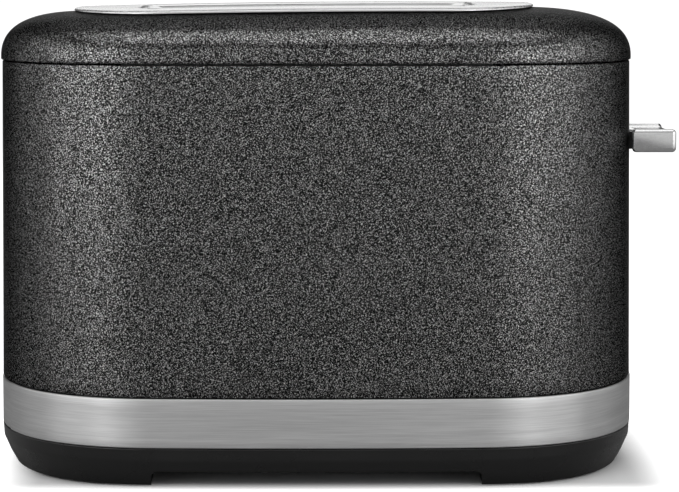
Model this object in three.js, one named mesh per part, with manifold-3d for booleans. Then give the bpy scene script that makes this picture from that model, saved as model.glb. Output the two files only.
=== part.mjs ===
// A pop-up toaster with two long slots side by side, built the way the real one comes apart:
// a plastic base pan on rubber feet, a steel band, a painted wall and a painted domed cover,
// a pressed steel slot plate, and inside them a sheet-metal chassis, three heater cards,
// hinged bread guides, a sprung carriage with two bread racks, a crumb tray and the controls.
//
// Units are millimetres. +Z is up, and the object stands on Z = 0. +X is the front, where the
// lever is, and -X the rear, where the crumb tray pulls out. The pieces are drawn about the
// middle of the body; the outer group then centres the whole object, lever included, on X = 0.

import * as THREE from "three";
import { LoftGeometry } from "three/addons/geometries/LoftGeometry.js";
import { RoundedBoxGeometry } from "three/addons/geometries/RoundedBoxGeometry.js";
import { mergeVertices } from "three/addons/utils/BufferGeometryUtils.js";
import Module from "manifold-3d";

const wasm = await Module();
wasm.setup();

// ---------------------------------------------------------------- driving dimensions

// Bread slots
const slotLength = 142;
const slotWidth = 34;
const slotPitch = 50;

// Body plan: the bays ahead of and behind the slots hold the mechanism and the tray front.
const frontBay = 70.5;
const rearBay = 62.5;
const bodyWidth = 176;
const sideRadius = 1212;
const endRadius = 106.4;
const cornerRadius = 67;

// Heights of the outer pieces, from the ground up
const baseHeight = 16.8;
const bandHeight = 20.4;
const wallHeight = 135.7;
const domeRimHeight = 1.4;
const seamGap = 0.5;

// Sheets and clearances
const wallSheet = 1;
const domeSheet = 1.3;
const bandSheet = 1.1;
const plateSheet = 1;
const chassisSheet = 0.8;
const fitGap = 0.3;
const slideGap = 0.7;

// Dome and slot plate
const crownHeight = 22.8; // the crown's highest point above the dome's rim
const crownForward = 36;
const crownRadiusLong = 4500;
const crownRadiusWide = 660;
const plateRearMargin = 29.5;
const plateFrontMargin = 27;
const plateSideMargin = 13;
const plateRise = 2;
const plateOverlap = 4;
const plateSideRadius = 1500;
const plateEndRadius = 130;
const plateCornerRadius = 42;
const slotSideRadius = 9000;
const slotEndRadius = 200;
const slotCornerRadius = 8;
const domeRise = 11.7; // how far up the dome's foot pulls its curve
const domeShoulder = 9.5; // how far in the crown pulls it
const domeSwell = 0.5;

// Base pan
const footClearance = 0.8; // how far the rubber pads lift the plastic
const notchHeight = 6.9;
const notchHalfLength = 68.5;
const notchHalfWidth = 22;
const footWidth = 20;
const floorSheet = 2;
const upstandLap = 3.8; // how far the upstand stands behind the wall
const padRadius = 7;
const padInset = 15;
const ventGap = 5.8; // from the tray's outer rail
const ventLength = 14;

// Cord gland
const glandMargin = 0.75; // the flange's distance from the skirt's edges
const glandLip = 1;
const glandWall = 0.8;
const glandNeckLength = 4.6;
const glandRecess = 2.2;

// Crumb tray
const trayHalfWidth = 35.5;
const trayDepth = 12;
const trayCheek = 1.7; // how much wider its front is at each side

// Toasting chamber
const chamberEndGap = 5;
const chamberFloorGap = 5; // above the crumb tray
const chassisHeadroom = 10.9; // below the crown's highest point
const cardSheet = 1.2;
const outerCardGap = 9; // from the slot's outer edge
const reflectorGap = 6; // from the outer card
const chamberMargin = 5; // the chamber's end walls reach this far past the reflectors
const postInset = 10; // in from the chamber's edge
const guideInset = 1.5; // in from the slot's edge
const guideWireRadius = 1;
const guideWires = 6;

// Carriage and lever
const rackRestHeight = 65.6; // below the wall's top
const rackDepth = 10;
const rackSheet = 2;
const rackBars = 6;
const rackBarHalfLength = 6.5;
const leverDrop = 34; // lever's middle below the wall's top
const leverLength = 56;
const leverThickness = 9.9;
const leverReach = 16.5; // ahead of the body
const leverArmWidth = 6;
const leverArmCover = 2.3; // how much thicker the knob is than its arm
const leverArmLift = 0.05; // the arm's underside above the knob's
const dishDepth = 0.9;
const dishHalfLength = 23;
const highLift = 16;
const rodRadius = 2.5;
const rodGap = 6; // from the rack beside it
const carriageSheet = 1.6;
const carriageHeight = 50;

// Control pod
const podLeverGap = 21.952; // from the lever's end to the pod's middle line
const podHalfWidth = 15;
const podHeight = 100;
const podDepth = 7;
const boardMargin = 2;
const podStand = 0.6;
const podLift = 2.25; // above the middle of the wall
const dialRadius = 12;
const dialHeight = 18; // dial axis above the pod's lower edge
const buttonWidth = 18;
const buttonGap = 5; // between one button and the next
const buttonTopMargin = 15; // from the pod's upper edge to the top button's middle
const buttonDialGap = 16; // from the dial's edge to the lowest button's middle
const buttonStand = 1.8;
const buttonTravel = 1.5;
const buttonNames = ["button_cancel", "button_reheat", "button_defrost", "button_bagel"];

// ---------------------------------------------------------------- derived places

const bodyLength = slotLength + frontBay + rearBay;
const halfLength = bodyLength / 2;
const halfWidth = bodyWidth / 2;
const slotFront = halfLength - frontBay;
const slotRear = rearBay - halfLength;
const slotMiddle = (slotFront + slotRear) / 2;
const slotCentres = [-slotPitch / 2, slotPitch / 2];

const bandBottom = baseHeight + 0.2;
const bandTop = bandBottom + bandHeight;
const wallBottom = bandTop + seamGap;
const wallTop = wallBottom + wallHeight;
const domeBottom = wallTop + seamGap;
const crownTop = domeBottom + crownHeight;

const bandInset = 0;
const fasciaInset = 0.2;
const wallFootInset = 0.4;
const wallHeadInset = 1.6;
const domeInset = 1;
const upstandInset = 2.3;
const upstandTop = bandTop + upstandLap;
const panFloor = notchHeight + floorSheet;
const trayBottom = bandBottom + 2;
const trayFasciaHalfWidth = trayHalfWidth + trayCheek;

const chamberFloorHeight = trayBottom + trayDepth + chamberFloorGap;
const chamberFloorTop = chamberFloorHeight + chassisSheet;
const chamberRear = slotRear - chamberEndGap;
const chamberFront = slotFront + chamberEndGap;
const chassisTop = crownTop - chassisHeadroom;
const guideOffset = slotWidth / 2 - guideInset;
const outerCardOffset = (slotPitch + slotWidth) / 2 + outerCardGap;
const reflectorOffset = outerCardOffset + reflectorGap;
const chamberHalfWidth = reflectorOffset + chamberMargin;
const guidePivotHeight = chamberFloorTop + 7.2;
const guideTopHeight = wallTop + 2;

const rackTop = wallTop - rackRestHeight + rackDepth;
const rackBottom = rackTop - rackDepth;
const liftTravel = rackBottom - chamberFloorTop - 2;
const leverMiddle = wallTop - leverDrop;
const leverArmHeight = leverThickness - leverArmCover;
const armMiddle = leverMiddle - leverArmCover / 2 + leverArmLift;
const leverTip = halfLength + leverReach;

const rodX = chamberFront + 13;
const rodOffset = slotPitch / 2 + rodGap;
const carriageX = chamberFront + 6;
const carriageTop = leverMiddle + 10.5;
const carriageBottom = carriageTop - carriageHeight;
const carriageReach = rodX + 7;
const bushOverhang = 2;
const bracketHeight = carriageBottom - liftTravel - bushOverhang - 2.5;
const upperBracketHeight = chassisTop - 6;
const magnetX = rodX + 19;
const armatureSheet = 2;
const magnetTop = carriageBottom - fitGap - armatureSheet - liftTravel - fitGap;

const trayRear = -halfLength + 11.5;
const trayFront = chamberFront - 6;
const postRadius = 5;
const screwRadius = 2;
const screwHeadRadius = 3.8;
const posts = [chamberRear + 14, chamberFront - 14].flatMap((x) => [
  [x, postInset - chamberHalfWidth],
  [x, chamberHalfWidth - postInset],
]);
const glandHeight = (notchHeight + baseHeight) / 2;
const glandFlange = (baseHeight - notchHeight) / 2 - glandMargin;
const glandNeck = glandFlange - glandLip;
const glandBore = glandNeck - glandWall;
const glandX = -halfLength + glandRecess - fitGap + glandNeckLength;

// ---------------------------------------------------------------- materials

const finish = (color, roughness, metalness) =>
  new THREE.MeshStandardMaterial({ color, roughness, metalness });
const paint = finish(0x2b2b2b, 0.6, 0.3);
const brushedSteel = finish(0xa8a8a8, 0.32, 1);
const satinZinc = finish(0xb9b9b9, 0.28, 1);
const blackPlastic = finish(0x1f1f1f, 0.5, 0);
const rubber = finish(0x161616, 0.85, 0);
const galvanised = finish(0x9a9c9e, 0.4, 1);
const wire = finish(0xb4b6b8, 0.3, 1);
const mica = finish(0xb9a98a, 0.7, 0);
const boardGreen = finish(0x1f5a36, 0.6, 0);
const copper = finish(0xa9683a, 0.35, 1);
const darkSteel = finish(0x5b5d60, 0.4, 1);

// ---------------------------------------------------------------- solids

// A closed geometry as a manifold-3d solid.
function solidOf(geometry) {
  const bare = new THREE.BufferGeometry();
  bare.setAttribute("position", geometry.getAttribute("position"));
  bare.setIndex(geometry.index);
  const merged = mergeVertices(bare, 1e-3);
  return new wasm.Manifold(
    new wasm.Mesh({
      numProp: 3,
      vertProperties: merged.getAttribute("position").array,
      triVerts: new Uint32Array(merged.index.array),
    }),
  );
}

// A manifold-3d solid as a geometry.
function geometryOf(solid) {
  const mesh = solid.getMesh();
  const geometry = new THREE.BufferGeometry();
  geometry.setAttribute("position", new THREE.BufferAttribute(mesh.vertProperties, mesh.numProp));
  geometry.setIndex(new THREE.BufferAttribute(mesh.triVerts, 1));
  geometry.computeVertexNormals();
  return geometry;
}

const join = (...pieces) => geometryOf(pieces.map(solidOf).reduce((a, b) => a.add(b)));
const cut = (piece, ...tools) =>
  geometryOf(tools.map(solidOf).reduce((a, b) => a.subtract(b), solidOf(piece)));
const keep = (piece, tool) => geometryOf(solidOf(piece).intersect(solidOf(tool)));

// A box from its two corners.
function box(x0, x1, y0, y1, z0, z1) {
  const made = new THREE.BoxGeometry(x1 - x0, y1 - y0, z1 - z0);
  return made.translate((x0 + x1) / 2, (y0 + y1) / 2, (z0 + z1) / 2);
}

// A round bar between two heights, standing at x, y.
function post(x, y, z0, z1, radius, sides = 16) {
  const made = new THREE.CylinderGeometry(radius, radius, z1 - z0, sides).rotateX(Math.PI / 2);
  return made.translate(x, y, (z0 + z1) / 2);
}

// A round bar along X.
function bar(x0, x1, y, z, radius, sides = 16) {
  const made = new THREE.CylinderGeometry(radius, radius, x1 - x0, sides).rotateZ(Math.PI / 2);
  return made.translate((x0 + x1) / 2, y, z);
}

// A profile of [radius, height] points turned about Z. It starts and ends on the axis, or closes.
function turned(profile, sides) {
  const points = profile.map(([radius, height]) => new THREE.Vector2(radius, height));
  return new THREE.LatheGeometry(points, sides).rotateX(Math.PI / 2);
}

// Z to X and X to Y: turns what was drawn upwards so that it faces out of a vertical face.
const faceForward = new THREE.Matrix4().set(0, 0, 1, 0, 1, 0, 0, 0, 0, 1, 0, 0, 0, 0, 0, 1);

// A rectangle with rounded corners, centred on x, y.
function roundedRectangle(x, y, width, height, radius) {
  const [left, right] = [x - width / 2, x + width / 2];
  const [low, high] = [y - height / 2, y + height / 2];
  const shape = new THREE.Shape();
  shape.absarc(right - radius, low + radius, radius, -Math.PI / 2, 0);
  shape.absarc(right - radius, high - radius, radius, 0, Math.PI / 2);
  shape.absarc(left + radius, high - radius, radius, Math.PI / 2, Math.PI);
  shape.absarc(left + radius, low + radius, radius, Math.PI, Math.PI * 1.5);
  return shape;
}

// A plan outline of eight tangent arcs: two long sides, two ends and four corners between them.
class ArcPlan {
  constructor({ length, width, side, end, corner, middle = 0, steps = [3, 7, 2] }) {
    const sideCentre = new THREE.Vector2(0, width / 2 - side);
    const endCentre = new THREE.Vector2(length / 2 - end, 0);
    const apart = sideCentre.distanceTo(endCentre);
    const [fromSide, fromEnd] = [side - corner, end - corner];
    const along = (fromSide ** 2 - fromEnd ** 2 + apart ** 2) / (2 * apart);
    const across = Math.sqrt(Math.max(0, fromSide ** 2 - along ** 2));
    const way = endCentre.clone().sub(sideCentre).divideScalar(apart);
    const cornerCentre = sideCentre.clone().addScaledVector(way, along);
    cornerCentre.add(new THREE.Vector2(way.y, -way.x).multiplyScalar(across));
    const toEnd = cornerCentre.clone().sub(endCentre).angle();
    const toSide = cornerCentre.clone().sub(sideCentre).angle();
    this.middle = middle;
    this.cornerCentre = cornerCentre;
    this.arcs = [
      { centre: endCentre, radius: end, from: 0, to: toEnd, steps: steps[0] },
      { centre: cornerCentre, radius: corner, from: toEnd, to: toSide, steps: steps[1] },
      { centre: sideCentre, radius: side, from: toSide, to: Math.PI / 2, steps: steps[2] },
    ];
  }

  // The outline's points in its first quadrant, moved inwards by inset.
  quadrant(inset) {
    const points = [];
    for (const { centre, radius, from, to, steps } of this.arcs) {
      for (let i = 0; i < steps; i++) {
        const angle = from + ((to - from) * i) / steps;
        const out = new THREE.Vector2(Math.cos(angle), Math.sin(angle));
        points.push(out.multiplyScalar(radius - inset).add(centre));
      }
    }
    const last = this.arcs[2];
    points.push(new THREE.Vector2(0, last.centre.y + last.radius - inset));
    return points;
  }

  // The way the first quadrant faces where it is the given distance from the length axis.
  facingAt(y) {
    const { centre, radius } = this.arcs.find((arc) => {
      return y <= arc.centre.y + arc.radius * Math.sin(arc.to);
    });
    return Math.asin((y - centre.y) / radius);
  }

  // The point of the first quadrant where the outline faces the given way.
  pointFacing(angle) {
    const { centre, radius } = this.arcs.find(({ to }) => angle <= to);
    const [x, y] = [centre.x + radius * Math.cos(angle), centre.y + radius * Math.sin(angle)];
    return new THREE.Vector3(x + this.middle, y, 0);
  }

  // The whole outline, counterclockwise from above. Height is a number or a function of x and y.
  ring(inset, height) {
    const first = this.quadrant(inset);
    const back = first.slice(1).reverse();
    const ahead = first.slice(0, -1);
    const all = [
      ...ahead.map((p) => [p.x, p.y]),
      ...back.map((p) => [-p.x, p.y]),
      ...ahead.map((p) => [-p.x, -p.y]),
      ...back.map((p) => [p.x, -p.y]),
    ];
    return all.map(([x, y]) => {
      const z = typeof height === "function" ? height(x + this.middle, y) : height;
      return new THREE.Vector3(x + this.middle, y, z);
    });
  }
}

// A wall whose section is the closed loop of [inset, height] points, carried round a plan.
function sweep(plan, loop) {
  const rings = loop.map(([inset, height]) => plan.ring(inset, height));
  return new LoftGeometry([...rings, rings[0]]);
}

// A solid that fills a plan, with the given [inset, height] edge from its foot to its head.
function fill(plan, edge) {
  const rings = edge.map(([inset, height]) => plan.ring(inset, height));
  return new LoftGeometry(rings, { capStart: true, capEnd: true });
}

// ---------------------------------------------------------------- plans

const bodyPlan = new ArcPlan({
  length: bodyLength,
  width: bodyWidth,
  side: sideRadius,
  end: endRadius,
  corner: cornerRadius,
});

const platePlan = new ArcPlan({
  length: slotLength + plateRearMargin + plateFrontMargin,
  width: slotPitch + slotWidth + 2 * plateSideMargin,
  side: plateSideRadius,
  end: plateEndRadius,
  corner: plateCornerRadius,
  middle: slotMiddle + (plateFrontMargin - plateRearMargin) / 2,
  steps: [3, 6, 3],
});

const slotPlan = new ArcPlan({
  length: slotLength,
  width: slotWidth,
  side: slotSideRadius,
  end: slotEndRadius,
  corner: slotCornerRadius,
  middle: slotMiddle,
  steps: [1, 4, 1],
});

// The pressed surface that the slot plate sits on, lowest at the dome's corners.
function crown(x, y) {
  const fall = (x - crownForward) ** 2 / (2 * crownRadiusLong) + y ** 2 / (2 * crownRadiusWide);
  return crownTop - fall;
}

// ---------------------------------------------------------------- outer pieces

// Boxes that free the crumb tray's way out through the rear.
const rearOpening = (halfWidth, z0, z1) =>
  box(-halfLength - 20, -halfLength + 30, -halfWidth, halfWidth, z0, z1);

// A tunnel under the base whose upper corners are rounded, along X or along Y.
function notchTool(halfSpan, alongY) {
  const radius = 3;
  const shape = new THREE.Shape();
  shape.moveTo(-halfSpan, -5);
  shape.lineTo(halfSpan, -5);
  shape.absarc(halfSpan - radius, notchHeight - radius, radius, 0, Math.PI / 2);
  shape.absarc(-halfSpan + radius, notchHeight - radius, radius, Math.PI / 2, Math.PI);
  const depth = 2 * (bodyLength + 20);
  const tool = new THREE.ExtrudeGeometry(shape, { depth, bevelEnabled: false, curveSegments: 4 });
  tool.translate(0, 0, -depth / 2).rotateX(Math.PI / 2);
  return alongY ? tool : tool.rotateZ(Math.PI / 2);
}

// Where the rubber pads sit: on the middle of each corner, a fixed way in from its edge.
function padPlaces() {
  const reach = (cornerRadius - padInset) * Math.SQRT1_2;
  const { x, y } = bodyPlan.cornerCentre;
  const places = [];
  for (const front of [-1, 1]) {
    for (const side of [-1, 1]) {
      places.push([front * (x + reach), side * (y + reach)]);
    }
  }
  return places;
}

// The moulded base: a skirt that draws in to four corner feet, a floor, posts and tray rails.
function basePan() {
  const shell = fill(bodyPlan, [
    [6, footClearance],
    [3.3, 5.6],
    [0.7, 11.5],
    [fasciaInset, baseHeight],
    [upstandInset, baseHeight],
    [upstandInset, upstandTop],
  ]);
  const inside = fill(bodyPlan, [
    [upstandInset + 2.2, panFloor],
    [upstandInset + 2.2, upstandTop + 1],
  ]);
  const underside = fill(bodyPlan, [
    [6 + footWidth, -5],
    [6 + footWidth, notchHeight],
  ]);
  const railTop = trayBottom - fitGap;
  const rails = [-1, 1].flatMap((side) => {
    const [inner, outer] = [trayHalfWidth - 6, trayHalfWidth + slideGap];
    return [
      box(trayRear, trayFront, Math.min(side * inner, side * (inner + 3)),
        Math.max(side * inner, side * (inner + 3)), panFloor - 1, railTop),
      box(trayRear, trayFront, Math.min(side * outer, side * (outer + 2)),
        Math.max(side * outer, side * (outer + 2)), panFloor - 1, railTop + 7),
    ];
  });
  const postTop = chamberFloorHeight - fitGap;
  const stands = posts.map(([x, y]) => post(x, y, panFloor - 1, postTop, postRadius));
  const screwHoles = posts.map(([x, y]) => post(x, y, -5, postTop + 5, screwRadius + 0.3, 12));
  const screwWells = posts.map(([x, y]) => post(x, y, -5, notchHeight, screwHeadRadius + fitGap));
  const padHoles = padPlaces().map(([x, y]) =>
    post(x, y, -5, footClearance + 1.8, padRadius + fitGap, 20),
  );
  const ventStart = trayHalfWidth + slideGap + 2 + ventGap;
  const vents = [-40, -20, 0, 20, 40].map((x) =>
    box(x - 4, x + 4, ventStart, ventStart + ventLength, 0, panFloor + 1),
  );
  const hollow = cut(
    shell,
    inside,
    underside,
    notchTool(notchHalfLength, true),
    notchTool(notchHalfWidth, false),
    rearOpening(trayFasciaHalfWidth + 0.5, bandBottom, upstandTop - 4.4),
  );
  return cut(
    join(hollow, ...rails, ...stands),
    ...screwHoles,
    ...screwWells,
    ...padHoles,
    ...vents,
    bar(-halfLength - 10, -halfLength + 12, 0, glandHeight, glandNeck + fitGap),
    bar(-halfLength - 10, -halfLength + glandRecess, 0, glandHeight, glandFlange + fitGap),
  );
}

// The steel band, open at the rear where the tray's front closes the ring.
function trimBand() {
  const chamfer = 0.35;
  const ring = sweep(bodyPlan, [
    [bandInset + chamfer, bandBottom],
    [bandInset, bandBottom + chamfer],
    [bandInset, bandTop - chamfer],
    [bandInset + chamfer, bandTop],
    [bandInset + bandSheet, bandTop],
    [bandInset + bandSheet, bandBottom],
  ]);
  return cut(ring, rearOpening(trayFasciaHalfWidth + 0.4, bandBottom - 5, bandTop + 5));
}

// The painted wall, drawn in towards its top, with a flange that the dome sits over.
function sideShell() {
  const flange = 6.5;
  const ring = sweep(bodyPlan, [
    [wallFootInset, wallBottom],
    [wallHeadInset, wallTop],
    [wallHeadInset + flange, wallTop],
    [wallHeadInset + flange, wallTop - wallSheet],
    [wallHeadInset + wallSheet, wallTop - wallSheet],
    [wallFootInset + wallSheet, wallBottom],
  ]);
  const podOpening = box(-20, 20, -podHalfWidth - 0.4, podHalfWidth + 0.4,
    podBottom - 0.4, podBottom + podHeight + 0.4);
  return cut(ring, leverOpening(slotTrimHalfWidth + fitGap, 1.5 + fitGap), onPodFace(podOpening));
}

// The domed cover: each line of it rises from the rim along a cubic curve to the plate's seat.
function topCover() {
  const rise = (inset, drop) => {
    const rim = bodyPlan.ring(inset, 0);
    const seat = platePlan.ring(plateOverlap, crown);
    const rimTop = domeBottom + domeRimHeight;
    const lines = rim.map((foot, i) => {
      const head = seat[i];
      const out = new THREE.Vector2(head.x - foot.x, head.y - foot.y);
      const at = (share, z) =>
        new THREE.Vector3(foot.x + out.x * share, foot.y + out.y * share, z - drop);
      return new THREE.CubicBezierCurve3(
        at(0, rimTop),
        at(0, rimTop + domeRise),
        at(domeShoulder / out.length(), crown(foot.x, foot.y) + domeSwell),
        at(1, head.z),
      );
    });
    const shares = [0, 0.12, 0.25, 0.38, 0.5, 0.63, 0.78, 1];
    return shares.map((share) => lines.map((line) => line.getPoint(share)));
  };
  const outer = rise(domeInset, 0);
  const inner = rise(domeInset + domeSheet, domeSheet).reverse();
  const rings = [
    bodyPlan.ring(domeInset + domeSheet, domeBottom),
    bodyPlan.ring(domeInset + 0.3, domeBottom),
    bodyPlan.ring(domeInset, domeBottom + 0.3),
    ...outer,
    ...inner,
  ];
  return new LoftGeometry([...rings, rings[0]]);
}

// A block whose top follows the crown. Its edge is [inset, lift above the crown] points.
function crownedBlock(edge) {
  const over = (lift) => (x, y) => crown(x, y) + lift;
  const rings = edge.map(([inset, lift]) => platePlan.ring(inset, over(lift)));
  const [lastInset, lastLift] = edge[edge.length - 1];
  const innermost = platePlan.ring(lastInset, 0);
  const shrunk = [0.65, 0.3].map((share) =>
    innermost.map((p) => {
      const [x, y] = [platePlan.middle + (p.x - platePlan.middle) * share, p.y * share];
      return new THREE.Vector3(x, y, crown(x, y) + lastLift);
    }),
  );
  const foot = platePlan.ring(edge[0][0], crownTop - 20);
  return new LoftGeometry([foot, ...rings, ...shrunk], { capStart: true, capEnd: true });
}

// The pressed slot plate: a crowned sheet with a rolled edge and a flange down round each slot.
function slotPlate() {
  const [rollWidth, rollHeight] = [4, 0.9];
  const rollEdge = [0, 1, 2, 3].map((i) => {
    const turn = (i / 3) * (Math.PI / 2);
    const lift = plateRise - rollHeight * (1 - Math.sin(turn));
    return [rollWidth * (1 - Math.cos(turn)), lift];
  });
  const rimLift = fitGap + 0.1;
  const beneath = crownedBlock([
    [-5, rimLift],
    [plateSheet, rimLift],
    [rollWidth, plateRise - plateSheet],
  ]);
  const flangeFoot = crownTop - 9;
  const around = (y, inset, height) =>
    slotPlan.ring(inset, (px, py) => height(px, py + y)).map((p) => p.setY(p.y + y));
  const foot = () => flangeFoot;
  const head = (x, y) => crown(x, y) + plateRise - 0.4;
  const flanges = slotCentres.map((y) => {
    const rings = [around(y, -1, foot), around(y, -1, head), around(y, 0, head), around(y, 0, foot)];
    return new LoftGeometry([...rings, rings[0]]);
  });
  const holes = slotCentres.map((y) =>
    fill(slotPlan, [[0, flangeFoot - 1], [0, crownTop + 9]]).translate(0, y, 0),
  );
  return join(cut(crownedBlock(rollEdge), beneath, ...holes), ...flanges);
}

// ---------------------------------------------------------------- crumb tray

function crumbTray() {
  const sheet = 0.9;
  const outside = box(trayRear, trayFront, -trayHalfWidth, trayHalfWidth, trayBottom,
    trayBottom + trayDepth);
  const inside = box(trayRear + sheet, trayFront - sheet, -trayHalfWidth + sheet,
    trayHalfWidth - sheet, trayBottom + sheet, trayBottom + trayDepth + 1);
  return cut(outside, inside);
}

// The black moulding between the tray and its steel front.
function trayCarrier() {
  const filled = fill(bodyPlan, [
    [bandSheet + 0.6, bandBottom + 0.5],
    [bandSheet + 0.6, upstandTop - 5],
  ]);
  const room = box(-halfLength, trayRear - fitGap, -trayFasciaHalfWidth + 0.3,
    trayFasciaHalfWidth - 0.3, 0, upstandTop);
  return keep(filled, room);
}

function trayFascia() {
  const chamfer = 0.3;
  const [outer, inner] = [fasciaInset, fasciaInset + bandSheet];
  const ring = sweep(bodyPlan, [
    [outer + chamfer, bandBottom + 0.2],
    [outer, bandBottom + 0.2 + chamfer],
    [outer, bandTop - 0.2 - chamfer],
    [outer + chamfer, bandTop - 0.2],
    [inner, bandTop - 0.2],
    [inner, bandBottom + 0.2],
  ]);
  return keep(ring, rearOpening(trayFasciaHalfWidth, 0, bandTop + 5));
}

// ---------------------------------------------------------------- chassis

// The chamber's floor, open over the crumb tray.
function chassisFloor() {
  const sheet = box(chamberRear + chassisSheet + fitGap, chamberFront - fitGap, -chamberHalfWidth,
    chamberHalfWidth, chamberFloorHeight, chamberFloorTop);
  const opening = box(chamberRear + 8, trayFront - 3, -trayHalfWidth + 2, trayHalfWidth - 2,
    chamberFloorHeight - 5, chamberFloorTop + 5);
  const holes = posts.map(([x, y]) =>
    post(x, y, chamberFloorHeight - 5, chamberFloorTop + 5, screwRadius + 0.3, 12),
  );
  return cut(sheet, opening, ...holes);
}

// An end wall of the chamber, slotted for the racks and drilled for the guides' pivots.
function chassisEnd(x0, foot) {
  const sheet = box(x0, x0 + chassisSheet, -chamberHalfWidth, chamberHalfWidth, foot, chassisTop);
  const way = rackSheet / 2 + slideGap;
  const slots = slotCentres.map((y) =>
    box(x0 - 5, x0 + 5, y - way, y + way, chamberFloorTop + 1.2, rackTop + highLift + 1),
  );
  const pivots = guidePlaces().map(({ y }) =>
    bar(x0 - 5, x0 + 5, y, guidePivotHeight, guideWireRadius + 0.4, 10),
  );
  return cut(sheet, ...slots, ...pivots);
}

function reflector() {
  return box(chamberRear + fitGap + chassisSheet, chamberFront - fitGap, 0, chassisSheet,
    chamberFloorTop + fitGap, chassisTop - 2);
}

function heaterCard() {
  return box(chamberRear + fitGap + chassisSheet, chamberFront - fitGap, -cardSheet / 2,
    cardSheet / 2, chamberFloorTop + 7, wallTop + 3);
}

// The four guides: one each side of each slot.
function guidePlaces() {
  return slotCentres.flatMap((slot, i) =>
    [-1, 1].map((side) => ({
      name: `bread_guide_${i === 0 ? "left" : "right"}_${side * slot > 0 ? "outer" : "inner"}`,
      y: slot + side * guideOffset,
    })),
  );
}

// A grid of upright wires on a top rail and on a lower rail that is its hinge pin.
function breadGuide() {
  const height = guideTopHeight - guidePivotHeight;
  const rear = chamberRear + 5;
  const front = chamberFront - 4;
  const pin = bar(chamberRear - 1, chamberFront + 1.8, 0, 0, guideWireRadius, 6);
  const rail = bar(rear, front, 0, height, guideWireRadius, 6);
  const wires = Array.from({ length: guideWires }, (_, i) => {
    const x = rear + 2 + ((front - rear - 4) * i) / (guideWires - 1);
    return post(x, 0, 0, height, guideWireRadius * 0.8, 6);
  });
  return join(pin, rail, ...wires);
}

// ---------------------------------------------------------------- carriage and lever

const slotTrimHalfWidth = leverArmWidth / 2 + slideGap + 1.2;

// The lever's upright way through the front, widened and lengthened by the given margins.
function leverOpening(halfWide, more) {
  const half = leverArmHeight / 2 + slideGap;
  return box(halfLength - 40, halfLength + 20, -halfWide, halfWide,
    armMiddle - liftTravel - half - more, armMiddle + highLift + half + more);
}

// The black liner of the lever's slot, following the curve of the front.
function leverSlotTrim() {
  const depth = 4.5;
  const band = sweep(bodyPlan, [
    [wallFootInset - 0.1, wallBottom],
    [wallHeadInset - 0.1, wallTop],
    [wallHeadInset - 0.1 + depth, wallTop],
    [wallFootInset - 0.1 + depth, wallBottom],
  ]);
  const liner = keep(band, leverOpening(slotTrimHalfWidth, 1.5));
  return cut(liner, leverOpening(leverArmWidth / 2 + slideGap, 0));
}

function leverArm() {
  return box(carriageX + carriageSheet + fitGap, leverTip - 8, -leverArmWidth / 2,
    leverArmWidth / 2, armMiddle - leverArmHeight / 2, armMiddle + leverArmHeight / 2);
}

// A rounded bar across the front, dished on top. Its back follows the body at a small distance.
function leverKnob() {
  const back = halfLength - 12;
  const bodyGap = 0.9;
  const block = new RoundedBoxGeometry(leverTip - back, leverLength, leverThickness, 2, 1.6);
  block.translate((leverTip + back) / 2, 0, leverMiddle);
  const [low, high] = [leverMiddle - leverThickness, leverMiddle + leverThickness];
  const bodySide = fill(bodyPlan, [[-bodyGap, low], [-bodyGap, high]]);
  const half = leverArmHeight / 2 + fitGap;
  const socket = box(back - 5, leverTip - 8 + fitGap, -leverArmWidth / 2 - fitGap,
    leverArmWidth / 2 + fitGap, armMiddle - half, armMiddle + half);
  const dishRadius = (dishHalfLength ** 2 + dishDepth ** 2) / (2 * dishDepth);
  const dishMiddle = leverMiddle + leverThickness / 2 + dishRadius - dishDepth;
  const dish = bar(back - 5, leverTip + 5, 0, dishMiddle, dishRadius, 180);
  return cut(block, bodySide, socket, dish);
}

// One bread rack: an upright strip through both end walls, with bars across it.
function breadRack() {
  const [rear, front] = [chamberRear - 5, carriageX + carriageSheet + 1.4];
  const strip = box(rear, front, -rackSheet / 2, rackSheet / 2, rackBottom, rackTop);
  const [first, last] = [slotRear + 8, slotFront - 8];
  const bars = Array.from({ length: rackBars }, (_, i) => {
    const x = first + ((last - first) * i) / (rackBars - 1);
    return box(x - 1, x + 1, -rackBarHalfLength, rackBarHalfLength, rackTop - 2, rackTop - 0.4);
  });
  return join(strip, ...bars);
}

// The folded steel plate that joins both racks, the lever arm and the magnet's armature.
function carriagePlate() {
  const reach = rodOffset + 6;
  const web = box(carriageX, carriageX + carriageSheet, -reach, reach, carriageBottom, carriageTop);
  const shelf = (z) => box(carriageX, carriageReach, -reach, reach, z, z + carriageSheet);
  const tongue = box(carriageReach - 3, magnetX + 8, -9, 9, carriageBottom,
    carriageBottom + carriageSheet);
  const rackSlots = slotCentres.map((y) =>
    box(carriageX - 5, carriageX + 5, y - rackSheet / 2 - fitGap, y + rackSheet / 2 + fitGap,
      rackBottom - fitGap, rackTop + fitGap),
  );
  const rodHoles = [-rodOffset, rodOffset].map((y) =>
    post(rodX, y, carriageBottom - 5, carriageTop + 5, rodRadius + 1.8),
  );
  return cut(
    join(web, shelf(carriageBottom), shelf(carriageTop - carriageSheet), tongue),
    ...rackSlots,
    ...rodHoles,
  );
}

function carriageBush() {
  const [inner, outer] = [rodRadius + 0.3, rodRadius + 1.5];
  const [low, high] = [carriageBottom - bushOverhang, carriageTop + bushOverhang];
  return turned([[inner, low], [outer, low], [outer, high], [inner, high], [inner, low]], 14);
}

function rodBracket(z) {
  const reach = rodOffset + 7;
  const sheet = box(chamberFront + chassisSheet + fitGap, rodX + 7, -reach, reach, z, z + 1.5);
  const holes = [-rodOffset, rodOffset].map((y) => post(rodX, y, z - 5, z + 5, rodRadius + 0.3));
  return cut(sheet, ...holes);
}

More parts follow.
